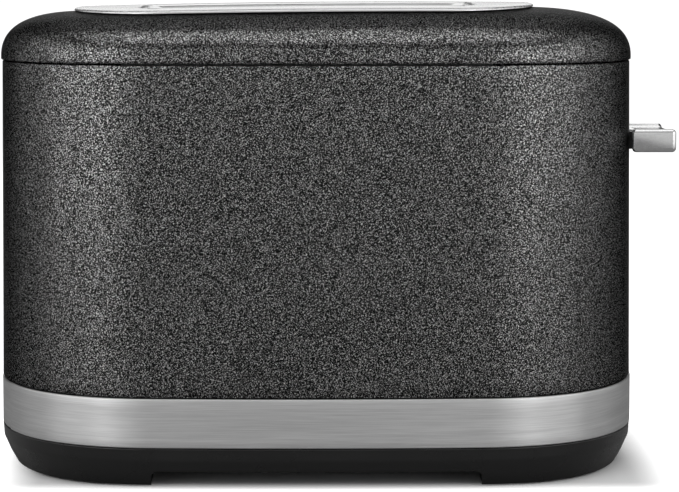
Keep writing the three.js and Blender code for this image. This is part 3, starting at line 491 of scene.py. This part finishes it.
def makeDome():
    turn = turnsAround(body)
    points = domePoints(turn)
    around = np.append(runLength(*outline(body, turn)), 0)
    around[-1] = around[-2] + 0.01
    upward = np.linspace(0, 0.06, len(points))
    mesh = gridMesh("dome_cover", points, around, upward, ring=True)
    piece("dome_cover", mesh, coatBlack, wall=dome["wall"], replaces=["top_cover"])


# wall

wall = {"bottom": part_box("side_shell")[0][2], "top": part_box("side_shell")[1][2], "footInset": 0.0004,
        "headInset": 0.0016, "roll": 0.0004, "sheet": 0.001, "trimGap": 0.0003}
pod = {"turn": math.radians(28), "halfWidth": 0.015, "bottom": 0.058, "height": 0.1, "gap": 0.0004}
pod["out"] = np.array([math.cos(pod["turn"]), math.sin(pod["turn"]), 0])
pod["side"] = np.array([-math.sin(pod["turn"]), math.cos(pod["turn"]), 0])
pod["origin"] = pod["out"] * body["endRadius"]
pod["origin"][0] += body["middle"] + body["length"] / 2 - body["endRadius"]


def makeWall():
    trimLow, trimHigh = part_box("lever_slot_trim")
    slotWide = trimHigh[1] + wall["trimGap"]
    slotZ = (trimLow[2] - wall["trimGap"], trimHigh[2] + wall["trimGap"])
    podZ = (pod["bottom"] - pod["gap"], pod["bottom"] + pod["height"] + pod["gap"])
    # the directions where the outline crosses the two openings' upright edges
    fine = np.linspace(-1.2, 1.2, 4000)
    fineX, fineY = outline(body, fine)
    sideways = (fineX - pod["origin"][0]) * pod["side"][0] + (fineY - pod["origin"][1]) * pod["side"][1]
    podTurns = np.interp([-pod["halfWidth"] - pod["gap"], pod["halfWidth"] + pod["gap"]], sideways, fine)
    slotTurns = np.interp([-slotWide, slotWide], fineY, fine)
    turn = turnsAround(body)
    extra = np.concatenate([podTurns, slotTurns % (2 * math.pi)])
    turn = turn[np.abs(turn[:, None] - extra).min(1) > 0.004]
    turn = np.sort(np.concatenate([turn, extra]))
    straight = np.linspace(wall["bottom"] + wall["roll"], wall["top"] - wall["roll"], 40)
    cuts = np.array([*slotZ, *podZ])
    straight = straight[np.abs(straight[:, None] - cuts).min(1) > 0.0012]
    straight = np.sort(np.concatenate([straight, cuts]))
    lower = edgeRoll(wall["roll"])[:-1]
    heights = np.concatenate([wall["bottom"] + lower[:, 1], straight, wall["top"] - lower[::-1, 1]])
    drawIn = np.concatenate([lower[:, 0], np.zeros(len(straight)), lower[::-1, 0]])
    share = (heights - wall["bottom"]) / (wall["top"] - wall["bottom"])
    inset = wall["footInset"] + (wall["headInset"] - wall["footInset"]) * share + drawIn
    x, y = outline(body, turn, inset[:, None])
    points = np.stack([x, y, np.broadcast_to(heights[:, None], x.shape)], -1)
    midTurn = (turn + np.append(turn[1:], turn[0] + 2 * math.pi)) / 2
    midTurn = (midTurn + math.pi) % (2 * math.pi) - math.pi
    midHeight = (heights[1:] + heights[:-1]) / 2
    besideSlot = (midHeight > slotZ[0]) & (midHeight < slotZ[1])
    inSlot = (np.abs(midTurn) < slotTurns[1]) & besideSlot[:, None]
    beside = (midTurn > podTurns[0]) & (midTurn < podTurns[1])
    inPod = beside & (midHeight > podZ[0])[:, None] & (midHeight < podZ[1])[:, None]
    around = np.append(runLength(*outline(body, turn)), 0)
    around[-1] = around[-2] + 0.01
    mesh = gridMesh("side_wall", points, around, heights, ring=True, keep=~(inSlot | inPod))
    piece("side_wall", mesh, coatBlack, wall=wall["sheet"], replaces=["side_shell"])


# steel band and tray front

band = {"bottom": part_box("trim_band")[0][2], "top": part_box("trim_band")[1][2], "lowRoll": 0.0005,
        "highRoll": 0.0008, "sheet": 0.0011, "halfGap": 0.0376}
trayFront = {"bottom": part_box("tray_fascia")[0][2], "top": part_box("tray_fascia")[1][2],
             "inset": 0.0002, "halfWidth": 0.0372, "lowRoll": 0.0005, "highRoll": 0.0008}


def ribbonAround(name, turn, low, high, inset, lowRoll, highRoll, replaces, bodyName):
    # an upright strip that follows the outline, its two long edges rolled inwards
    lower, upper = edgeRoll(lowRoll, 5), edgeRoll(highRoll, 6)[::-1]
    heights = np.concatenate([low + lower[:, 1], np.linspace(low + lowRoll, high - highRoll, 8)[1:-1],
                              high - upper[:, 1]])
    drawIn = inset + np.concatenate([lower[:, 0], np.zeros(6), upper[:, 0]])
    x, y = outline(body, turn, drawIn[:, None])
    points = np.stack([x, y, np.broadcast_to(heights[:, None], x.shape)], -1)
    mesh = gridMesh(name, points, runLength(*outline(body, turn)), heights)
    piece(name, mesh, bandSteel, bodyName, wall=band["sheet"], replaces=replaces)


def makeBand():
    gap = math.asin(band["halfGap"] / body["endRadius"])
    turn = turnsAround(body)
    turn = np.concatenate([[gap - math.pi], turn - 2 * math.pi, turn, [math.pi - gap]])
    turn = np.unique(turn[(turn >= gap - math.pi) & (turn <= math.pi - gap)])
    ribbonAround("steel_band", turn, band["bottom"], band["top"], 0.0, band["lowRoll"], band["highRoll"],
                 ["trim_band"], "housing")
    half = math.asin(trayFront["halfWidth"] / (body["endRadius"] - trayFront["inset"]))
    turn = np.linspace(math.pi - half, math.pi + half, 40)
    ribbonAround("tray_front", turn, trayFront["bottom"], trayFront["top"], trayFront["inset"],
                 trayFront["lowRoll"], trayFront["highRoll"], ["tray_fascia"], "tray")


# base

base = {"top": 0.0168, "foot": 0.0008, "notchTop": 0.0069, "notchHalfLength": 0.0685,
        "notchHalfWidth": 0.022, "fillet": 0.003, "proud": 0.00012, "wall": 0.0006,
        "heights": [0.0008, 0.0056, 0.0104, 0.0113, 0.0121, 0.0168],
        "insets": [0.0060, 0.0033, 0.0012, 0.0008, 0.00065, 0.0002]}


def notchHeight(distance):
    # how high the skirt's lower edge stands, this far inside a notch: a fillet, then the flat top
    inside = np.clip(distance, 0, base["fillet"])
    rise = np.sqrt(np.maximum(0, base["fillet"] ** 2 - (base["fillet"] - inside) ** 2))
    raised = base["notchTop"] - base["fillet"] + rise
    return np.where(distance > 0, raised, base["foot"])


def makeBaseSkin():
    fine = turnsAround(body, (400, 800, 400))
    fineX, fineY = outline(body, fine)
    fineX = fineX - body["middle"]
    steps = np.array([-0.00003, 0.00003, 0.0002, 0.0006, 0.0012, 0.002, 0.003])
    quarter = fine <= math.pi / 2
    sideTurns = np.interp(base["notchHalfLength"] - steps, fineX[quarter][::-1], fine[quarter][::-1])
    endTurns = np.interp(base["notchHalfWidth"] - steps, fineY[quarter], fine[quarter])
    edges = np.concatenate([sideTurns, endTurns])
    edges = np.concatenate([edges, math.pi - edges, math.pi + edges, 2 * math.pi - edges])
    turn = turnsAround(body)
    turn = turn[np.abs(turn[:, None] - edges).min(1) > 0.0015]
    turn = np.sort(np.concatenate([turn, edges]))
    x, y = outline(body, turn)
    x = x - body["middle"]
    onSide = np.abs(np.sin(turn)) > 0.9
    depth = np.where(onSide, base["notchHalfLength"] - np.abs(x), base["notchHalfWidth"] - np.abs(y))
    lowest = notchHeight(depth)
    shoulder = base["heights"][4]
    lower = lowest + (shoulder - lowest) * np.linspace(0, 1, 14)[:-1, None]
    upper = np.linspace(shoulder, base["top"], 8)[:, None] * np.ones_like(lowest)
    heights = np.concatenate([lower, upper])
    proud = np.interp(heights, [shoulder, base["top"]], [base["proud"], 0.0])
    inset = np.interp(heights, base["heights"], base["insets"]) - proud
    topRoll = edgeRoll(0.0005, 4)[::-1]
    x, y = outline(body, turn, inset)
    points = np.stack([x, y, heights], -1)
    x, y = outline(body, turn, (base["insets"][-1] + topRoll[1:, 0])[:, None])
    z = base["top"] - topRoll[1:, 1][:, None] * np.ones_like(x)
    points[-1, :, 2] = base["top"] - 0.0005
    points = np.concatenate([points, np.stack([x, y, z], -1)])
    around = np.append(runLength(*outline(body, turn)), 0)
    around[-1] = around[-2] + 0.01
    mesh = gridMesh("base_skin", points, around, np.linspace(0, 0.018, len(points)), ring=True)
    piece("base_skin", mesh, basePlastic, wall=base["wall"], sharp=40)


# slot plate

top = {"rise": 0.002, "lip": 0.0004, "rollWide": 0.0045, "rollHigh": 0.0011, "fillet": 0.0016,
       "flange": 0.0088, "sheet": 0.0008}


def plateRing(turn):
    # the plate's edge: a short upright lip, then a soft elliptical roll onto the crowned face
    over = np.linspace(0, math.pi / 2, 8)
    inset = np.concatenate([[0.0003, 0.0], top["rollWide"] * (1 - np.cos(over))])
    lift = np.concatenate([[top["lip"], top["lip"] + 0.0002],
                           top["rise"] - top["rollHigh"] * (1 - np.sin(over))])
    x, y = outline(plate, turn, inset[:, None])
    return np.stack([x, y, crownHeight(x, y) + lift[:, None]], -1)


def slotTurns(count, fromTurn, toTurn):
    # directions round a slot, spaced evenly by length between two of them
    fine = np.linspace(fromTurn, toTurn, 20000)
    length = runLength(*outline(slot, fine))
    return np.interp(np.linspace(0, length[-1], count), length, fine)


def makePlate():
    turn = turnsAround(plate, (12, 24, 22))
    ring = plateRing(turn)
    along = np.append(runLength(*outline(plate, turn)), 0)
    along[-1] = along[-2] + 0.01
    meshes = [gridMesh("edge", ring, along, np.linspace(0, 0.01, len(ring)), ring=True)]
    half = turn <= math.pi + 1e-6
    border = ring[-1][half]
    middle = np.linspace(border[-1, 0], border[0, 0], 62)[1:-1]
    middle = np.stack([middle, 0 * middle, crownHeight(middle, 0 * middle) + top["rise"]], -1)
    border = np.concatenate([border, middle])
    *_, toSide = planArcs(slot)
    # over: up one end, along the outer side, down the other end; under: back along the inner side
    over = slotTurns(int(half.sum()), -toSide, math.pi + toSide)
    under = slotTurns(62, math.pi + toSide, 2 * math.pi - toSide)[1:-1]
    slotTurn = np.concatenate([over, under])
    bend = np.linspace(0, math.pi / 2, 7)
    inset = np.concatenate([-top["fillet"] * (1 - np.sin(bend)), np.zeros(5)])
    x, y = outline(slot, slotTurn, inset[:, None])
    y = y + slot["pitch"] / 2
    face = crownHeight(x, y) + top["rise"]
    drop = top["fillet"] * (1 - np.cos(bend))
    z = face.copy()
    z[:7] -= drop[:, None]
    foot = crown["top"] - top["flange"]
    down = np.linspace(0, 1, 6)[1:, None]
    z[7:] = z[6] + (foot - z[6]) * down
    inner = np.stack([x, y, z], -1)
    share = np.linspace(0, 1, 10)[1:-1, None, None]
    across = border + (inner[0] - border) * share
    across[..., 2] = crownHeight(across[..., 0], across[..., 1]) + top["rise"]
    points = np.concatenate([border[None], across, inner])
    flat = np.linspace(0, 0.3, points.shape[1] + 1)
    rows = np.linspace(0, 0.03, len(points))
    meshes.append(gridMesh("half", points, flat, rows, ring=True))
    mirrored = (points * [1, -1, 1])[:, ::-1]
    meshes.append(gridMesh("otherHalf", mirrored, flat, rows, ring=True))
    mesh = joinMeshes("slot_plate_fine", meshes, mergeWithin=0.00001)
    piece("slot_plate_fine", mesh, plateSteel, wall=top["sheet"], sharp=40, replaces=["slot_plate"])


# lever knob

knob = {"rounding": 0.0018, "gap": 0.0009, "dishDepth": 0.0013, "dishHalf": 0.0245, "dishRise": 0.005}


def makeKnob():
    low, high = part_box("lever_knob")
    half = high[1]
    r = knob["rounding"]
    ease = np.linspace(0, math.pi / 2, 9)
    edge = half - r + r * np.sin(ease)
    y = np.concatenate([-edge[::-1], np.linspace(-half + r, half - r, 61)[1:-1], edge])
    fromEnd = np.clip(half - np.abs(y), 0, r)
    shrink = r - np.sqrt(np.maximum(0, r ** 2 - (r - fromEnd) ** 2))
    centre = body["middle"] + body["length"] / 2 - body["endRadius"]
    back = centre + np.sqrt((body["endRadius"] + knob["gap"]) ** 2 - y ** 2)
    hollow = np.clip((knob["dishHalf"] - np.abs(y)) / knob["dishRise"], 0, 1)
    dish = knob["dishDepth"] * hollow ** 2 * (3 - 2 * hollow)
    left, right = back + shrink * 0.8, high[0] - shrink
    bottom, upper = low[2] + shrink, high[2] - dish - shrink
    corner = np.maximum(r - shrink, 0.00025)
    turn = np.concatenate([np.linspace(a, a + math.pi / 2, 8) for a in np.arange(4) * math.pi / 2])
    toRight, toTop = np.repeat([1, 0, 0, 1], 8), np.repeat([1, 1, 0, 0], 8)
    cornerX = np.where(toRight, (right - corner)[:, None], (left + corner)[:, None])
    cornerZ = np.where(toTop, (upper - corner)[:, None], (bottom + corner)[:, None])
    x = cornerX + corner[:, None] * np.cos(turn)
    z = cornerZ + corner[:, None] * np.sin(turn)
    rings = np.stack([x, np.broadcast_to(y[:, None], x.shape), z], -1)
    piece("lever_knob_fine", tubeMesh("lever_knob_fine", rings), leverSatin, "carriage", closed=True,
          replaces=["lever_knob"], sharp=40)


# lift spring

spring = {"turns": 6, "wire": 0.0006, "stepsPerTurn": 28, "sides": 10}


def makeSpring():
    # a circle carried along a coil: the coil climbs evenly from the carriage to the bracket
    low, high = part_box("lift_spring")
    centre = (np.array(low) + np.array(high)) / 2
    radius = (high[0] - low[0]) / 2 - spring["wire"]
    share = np.linspace(0, 1, spring["turns"] * spring["stepsPerTurn"] + 1)
    turn = 2 * math.pi * spring["turns"] * share
    climb = high[2] - low[2] - 2 * spring["wire"]
    out = np.stack([np.cos(turn), np.sin(turn), 0 * turn], -1)
    path = out * radius + np.array([centre[0], centre[1], low[2] + spring["wire"]])
    path[:, 2] += climb * share
    along = np.gradient(path, axis=0)
    along /= np.linalg.norm(along, axis=1, keepdims=True)
    across = np.cross(along, out)
    about = np.linspace(0, 2 * math.pi, spring["sides"], endpoint=False)[:, None]
    rings = path[:, None] + spring["wire"] * (np.cos(about) * out[:, None] + np.sin(about) * across[:, None])
    # its transform is baked in and it is attached to no body; the stretch values are not read, so neither end
    # follows the carriage
    piece("lift_spring_coil", tubeMesh("lift_spring_coil", rings), darkIron, closed=True,
          replaces=["lift_spring"],
          stretch=("carriage", (centre[0], centre[1], high[2]), (centre[0], centre[1], low[2])))


# controls

def onPod(sideways, up, outward):
    # places given across, up and out of the pod's face
    return (pod["origin"] + np.asarray(sideways)[..., None] * pod["side"]
            + np.asarray(outward)[..., None] * pod["out"] + np.asarray(up)[..., None] * np.array([0, 0, 1]))


dial = {"radius": 0.012, "back": 0.0012, "face": 0.007, "flutes": 30, "fluteDepth": 0.00022,
        "pointerHalf": 0.0005, "pointerFrom": 0.0036, "pointerTo": 0.0082}


def makeDial():
    low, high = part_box("shade_dial")
    height = (low[2] + high[2]) / 2
    r = dial["radius"]
    profile = np.array([[0.003, -0.008], [0.003, dial["back"]], [r - 0.0004, dial["back"]],
                        [r, dial["back"] + 0.0003], [r, 0.0024], [r - 0.0003, 0.0027], [r - 0.0012, 0.0030],
                        [r - 0.0016, 0.0036], [r - 0.0018, 0.0050], [r - 0.0019, 0.0060],
                        [r - 0.0022, 0.0066], [r - 0.0028, 0.0069], [r - 0.0036, dial["face"]],
                        [r - 0.0042, dial["face"] - 0.0002], [0.004, dial["face"] - 0.0003],
                        [0.0006, dial["face"] - 0.0003]])
    turn = np.linspace(0, 2 * math.pi, 240, endpoint=False)
    fluted = np.zeros(len(profile))
    fluted[7:11] = [0.6, 1, 1, 0.5]
    wave = 0.5 - 0.5 * np.cos(dial["flutes"] * turn)
    radius = profile[:, :1] - dial["fluteDepth"] * fluted[:, None] * wave
    rings = onPod(radius * np.cos(turn), height + radius * np.sin(turn), profile[:, 1:] + 0 * turn)
    piece("shade_dial_fine", tubeMesh("shade_dial_fine", rings), dialSatin, "dial", closed=True,
          replaces=["shade_dial"], sharp=30)
    turn = np.linspace(0, 2 * math.pi, 16, endpoint=False)
    end = np.where(np.sin(turn) > 0, dial["pointerTo"], dial["pointerFrom"])
    across, up = dial["pointerHalf"] * np.cos(turn), height + end + dial["pointerHalf"] * np.sin(turn)
    rings = np.stack([onPod(across, up, 0 * turn + out)
                      for out in (dial["face"] - 0.0006, dial["face"] + 0.0001)])
    piece("dial_pointer", tubeMesh("dial_pointer", rings), whiteMark, "dial", closed=True)
    return height


def roundedSection(halfWide, halfHigh, corner, count=7):
    turn = np.concatenate([np.linspace(a, a + math.pi / 2, count) for a in np.arange(4) * math.pi / 2])
    right, up = np.repeat([1, -1, -1, 1], count), np.repeat([1, 1, -1, -1], count)
    across = right * (halfWide - corner) + corner * np.cos(turn)
    return across, up * (halfHigh - corner) + corner * np.sin(turn)


button = {"halfWide": 0.009, "halfHigh": 0.004, "corner": 0.0016, "front": 0.0024, "back": -0.0083,
          "edge": 0.0008}


def makeButtons():
    for name in [n for n in nodes if n.startswith("button_")]:
        low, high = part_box(name)
        height = (low[2] + high[2]) / 2
        edge = button["edge"]
        ease = np.linspace(0, math.pi / 2, 6)
        stations = [(button["back"], 0.0), (-0.002, 0.0)]
        stations += [(button["front"] - edge + edge * math.sin(a), edge * (1 - math.cos(a))) for a in ease]
        stations += [(button["front"] + 0.00012, 0.0022), (button["front"] + 0.00016, 0.0036)]
        rings = []
        for out, shrink in stations:
            corner = max(button["corner"] - shrink * 0.6, 0.0002)
            across, up = roundedSection(button["halfWide"] - shrink, button["halfHigh"] - shrink, corner)
            rings.append(onPod(across, height + up, 0 * across + out))
        piece(name + "_fine", tubeMesh(name + "_fine", np.stack(rings)), leverSatin, name + "_body",
              closed=True, replaces=[name])


def makeDialMarks(height):
    # seven short strokes round the dial, longer and thicker towards the dark end
    marks = []
    for step in range(7):
        turn = math.radians(215 - step * 250 / 6)
        wide, long = 0.00022 + 0.00003 * step, 0.0007 + 0.00008 * step
        across, up = roundedSection(long / 2, wide, wide * 0.9, 4)
        radial = 0.0133 + across
        sideways = radial * math.cos(turn) - up * math.sin(turn)
        upward = radial * math.sin(turn) + up * math.cos(turn)
        rings = np.stack([onPod(sideways, height + upward, 0 * across + out) for out in (0.0004, 0.00068)])
        marks.append(tubeMesh("mark", rings))
    piece("dial_marks", joinMeshes("dial_marks", marks), whiteMark, closed=True)


# inside the slots

ribbon = {"pitch": 0.0085, "wide": 0.0016, "thick": 0.0003, "clear": 0.00035, "endClear": 0.004}


def makeRibbons():
    for name in [n for n in nodes if n.startswith("heater_card")]:
        low, high = (np.array(c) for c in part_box(name))
        y = (low[1] + high[1]) / 2
        depth = (high[1] - low[1]) / 2 + ribbon["clear"]
        turns = int((high[2] - low[2] - 0.016) / ribbon["pitch"])
        # the path runs along one face, round the end, back along the other face, and climbs steadily
        left, right = low[0] + ribbon["endClear"], high[0] - ribbon["endClear"]
        bend = np.linspace(-math.pi / 2, math.pi / 2, 7)
        loopX = np.concatenate([np.linspace(left, right, 12)[:-1], right + depth * np.cos(bend),
                                np.linspace(right, left, 12)[1:-1], left - depth * np.cos(bend)[:-1]])
        loopY = np.concatenate([np.full(11, -depth), depth * np.sin(bend), np.full(10, depth),
                                -depth * np.sin(bend)[:-1]])
        x, across = np.tile(loopX, turns), np.tile(loopY, turns)
        climb = np.linspace(0, turns * ribbon["pitch"], len(x))
        z = low[2] + 0.008 + climb
        half = ribbon["wide"] / 2
        points = np.stack([np.stack([x, y + across, z - half], -1), np.stack([x, y + across, z + half], -1)])
        mesh = gridMesh(name + "_ribbon", points, runLength(x, across), np.array([0, ribbon["wide"]]))
        piece(name + "_ribbon", mesh, ribbonAlloy, wall=ribbon["thick"])


def rod(start, stop, radius, sides=12):
    start, stop = np.array(start, float), np.array(stop, float)
    way = (stop - start) / np.linalg.norm(stop - start)
    first = np.cross(way, [0, 0, 1] if abs(way[2]) < 0.9 else [1, 0, 0])
    first /= np.linalg.norm(first)
    second = np.cross(way, first)
    turn = np.linspace(0, 2 * math.pi, sides, endpoint=False)[:, None]
    circle = radius * (np.cos(turn) * first + np.sin(turn) * second)
    length = np.linalg.norm(stop - start)
    # the ends are rounded off over a fifth of the radius
    cuts = [(0, 0.8), (0.2 * radius / length, 1), (1 - 0.2 * radius / length, 1), (1, 0.8)]
    return np.stack([start + (stop - start) * at + circle * size for at, size in cuts])


guide = {"wire": 0.00085, "rail": 0.001, "count": 11}


def makeGuides():
    for name in [n for n in nodes if n.startswith("bread_guide")]:
        low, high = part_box(name)
        y = (low[1] + high[1]) / 2
        pin, head = low[2] + guide["rail"], high[2] - guide["rail"]
        left, right = low[0] + 0.006, high[0] - 0.006
        parts = [rod((low[0], y, pin), (high[0], y, pin), guide["rail"]),
                 rod((left, y, head), (right, y, head), guide["rail"])]
        for x in np.linspace(left + 0.003, right - 0.003, guide["count"]):
            parts.append(rod((x, y, pin), (x, y, head), guide["wire"]))
        mesh = joinMeshes(name + "_wires", [tubeMesh("wire", part) for part in parts])
        bodyName = name.replace("bread_", "") + "_body"
        piece(name + "_wires", mesh, wireSteel, bodyName, closed=True, replaces=[name])


makeDome()
makeWall()
makeBand()
makeBaseSkin()
makePlate()
makeKnob()
makeSpring()
print("outer pieces made")
dialHeight = makeDial()
makeDialMarks(dialHeight)
makeButtons()
print("controls made")
makeRibbons()
makeGuides()
print("slot fittings made")

named = {"base_pan": basePlastic, "tray_carrier": basePlastic, "control_pod": podPlastic,
         "lever_arm": basePlastic, "lever_slot_trim": basePlastic, "contact_block": basePlastic,
         "cord_gland": padRubber, "crumb_tray": sheetSteel, "carriage_plate": sheetSteel,
         "chassis_floor": sheetSteel, "chassis_front": sheetSteel, "chassis_rear": sheetSteel,
         "reflector_left": sheetSteel, "reflector_right": sheetSteel, "rod_bracket_lower": sheetSteel,
         "rod_bracket_upper": sheetSteel, "armature": darkIron,
         "magnet_core": darkIron, "magnet_coil": windingCopper, "control_board": boardGreen,
         "shade_pot": sheetSteel}
starts = {"foot_pad": padRubber, "base_screw": darkIron, "heater_card": micaSheet,
          "bread_rack": sheetSteel, "guide_rod": wireSteel, "carriage_bush": bushBrass,
          "lift_stop": padRubber, "switch": podPlastic}
for name in nodes:
    for start, material in starts.items():
        if name.startswith(start):
            dress(material, name)
    if name in named:
        dress(named[name], name)
print("carried-over pieces dressed")


# studio

camera = {"lens": 144.9, "distance": 1.19315, "height": 0.20806, "pitch": 5.559, "yaw": -0.487}
lights = {
    "left_panel": {"at": (-1.35, -0.75, 0.6), "aim": (0, -0.15, 0.35), "size": (1.5, 1.5), "glow": 1.3},
    "right_panel": {"at": (1.35, -0.75, 0.6), "aim": (0, -0.15, 0.35), "size": (1.5, 1.5), "glow": 1.3},
    "left_front": {"at": (-1.3, -1.9, 0.6), "aim": (0, -0.15, 0.35), "size": (1.1, 1.5), "glow": 1.05},
    "right_front": {"at": (1.3, -1.9, 0.6), "aim": (0, -0.15, 0.35), "size": (1.1, 1.5), "glow": 1.05},
    "left_back": {"at": (-1.3, 0.5, 0.6), "aim": (0, 0.3, 0.35), "size": (1.0, 1.5), "glow": 0.55},
    "right_back": {"at": (1.3, 0.5, 0.6), "aim": (0, 0.3, 0.35), "size": (1.0, 1.5), "glow": 0.55},
    "front_panel": {"at": (0, -2.2, 0.9), "aim": (0, 0, 0.9), "size": (2.0, 1.8), "glow": 0.6},
    "back_panel": {"at": (0, 2.2, 1.35), "aim": (0, 0, 1.35), "size": (1.5, 1.7), "glow": 1.1},
    "top_panel": {"at": (0, -0.1, 1.6), "aim": (0, -0.1, 0), "size": (2.0, 1.6), "glow": 1.3},
}


def makeCamera():
    data = bpy.data.cameras.new("camera")
    data.lens, data.sensor_width = camera["lens"], 36
    made = bpy.data.objects.new("camera", data)
    made.location = (body["middle"], -camera["distance"], camera["height"])
    made.rotation_euler = (math.radians(90 - camera["pitch"]), 0, math.radians(camera["yaw"]))
    bpy.context.scene.collection.objects.link(made)
    bpy.context.scene.camera = made


def makeLights():
    for name, values in lights.items():
        data = bpy.data.lights.new(name, "AREA")
        data.shape = "RECTANGLE"
        data.size, data.size_y = values["size"]
        data.energy = values["glow"] * math.pi * values["size"][0] * values["size"][1]
        made = bpy.data.objects.new(name, data)
        made.location = values["at"]
        made.visible_camera = False
        aim = Vector(values["aim"]) - Vector(values["at"])
        made.rotation_euler = aim.to_track_quat("-Z", "Y").to_euler()
        bpy.context.scene.collection.objects.link(made)


floorTone = {"seen": 0.9, "mirrored": 0.3, "glow": 1.0, "halfLength": 0.122, "halfWidth": 0.07,
             "reach": 0.03, "world": 0.08, "backdrop": 1.1}


def makeFloor():
    floorMesh = bpy.data.meshes.new("floor")
    floorMesh.from_pydata([(-6, -6, 0), (6, -6, 0), (6, 6, 0), (-6, 6, 0)], [], [(0, 1, 2, 3)])
    floor = bpy.data.objects.new("floor", floorMesh)
    bpy.context.scene.collection.objects.link(floor)
    material, tree, shader, where = blankMaterial("pale_floor")
    seen = tree.nodes.new("ShaderNodeLightPath").outputs["Is Camera Ray"]
    dim, pale = (floorTone["mirrored"],) * 3, (floorTone["seen"],) * 3
    tree.links.new(mixColour(tree, seen, dim, pale), shader.inputs["Base Color"])
    shader.inputs["Roughness"].default_value = 1.0
    shader.inputs["Specular IOR Level"].default_value = 0.0
    # outside the object's own footprint the sheet lifts to plain white
    split = tree.nodes.new("ShaderNodeSeparateXYZ")
    tree.links.new(where.outputs["Object"], split.inputs[0])
    beyond = []
    for axis, half in ((0, "halfLength"), (1, "halfWidth")):
        fromMiddle = mathNode(tree, "ABSOLUTE", split.outputs[axis])
        past = mathNode(tree, "SUBTRACT", fromMiddle, floorTone[half])
        beyond.append(mathNode(tree, "MAXIMUM", past, 0.0))
    squares = [mathNode(tree, "MULTIPLY", part, part) for part in beyond]
    away = mathNode(tree, "SQRT", mathNode(tree, "ADD", *squares))
    lift = rampNode(tree, away, 0.0, floorTone["glow"], 0.0, floorTone["reach"])
    shader.inputs["Emission Color"].default_value = (1, 1, 1, 1)
    tree.links.new(mathNode(tree, "MULTIPLY", lift, seen), shader.inputs["Emission Strength"])
    floorMesh.materials.append(material)


def makeWorld():
    world = bpy.data.worlds.new("studio")
    bpy.context.scene.world = world
    world.use_nodes = True
    tree = world.node_tree
    fill = tree.nodes["Background"]
    fill.inputs["Color"].default_value = (1, 1, 1, 1)
    seen = tree.nodes.new("ShaderNodeLightPath").outputs["Is Camera Ray"]
    strength = mathNode(tree, "MULTIPLY_ADD", seen, floorTone["backdrop"] - floorTone["world"],
                        floorTone["world"])
    tree.links.new(strength, fill.inputs["Strength"])


makeCamera()
makeLights()
makeFloor()
makeWorld()
bpy.context.scene.view_settings.view_transform = "Standard"
print("studio made")
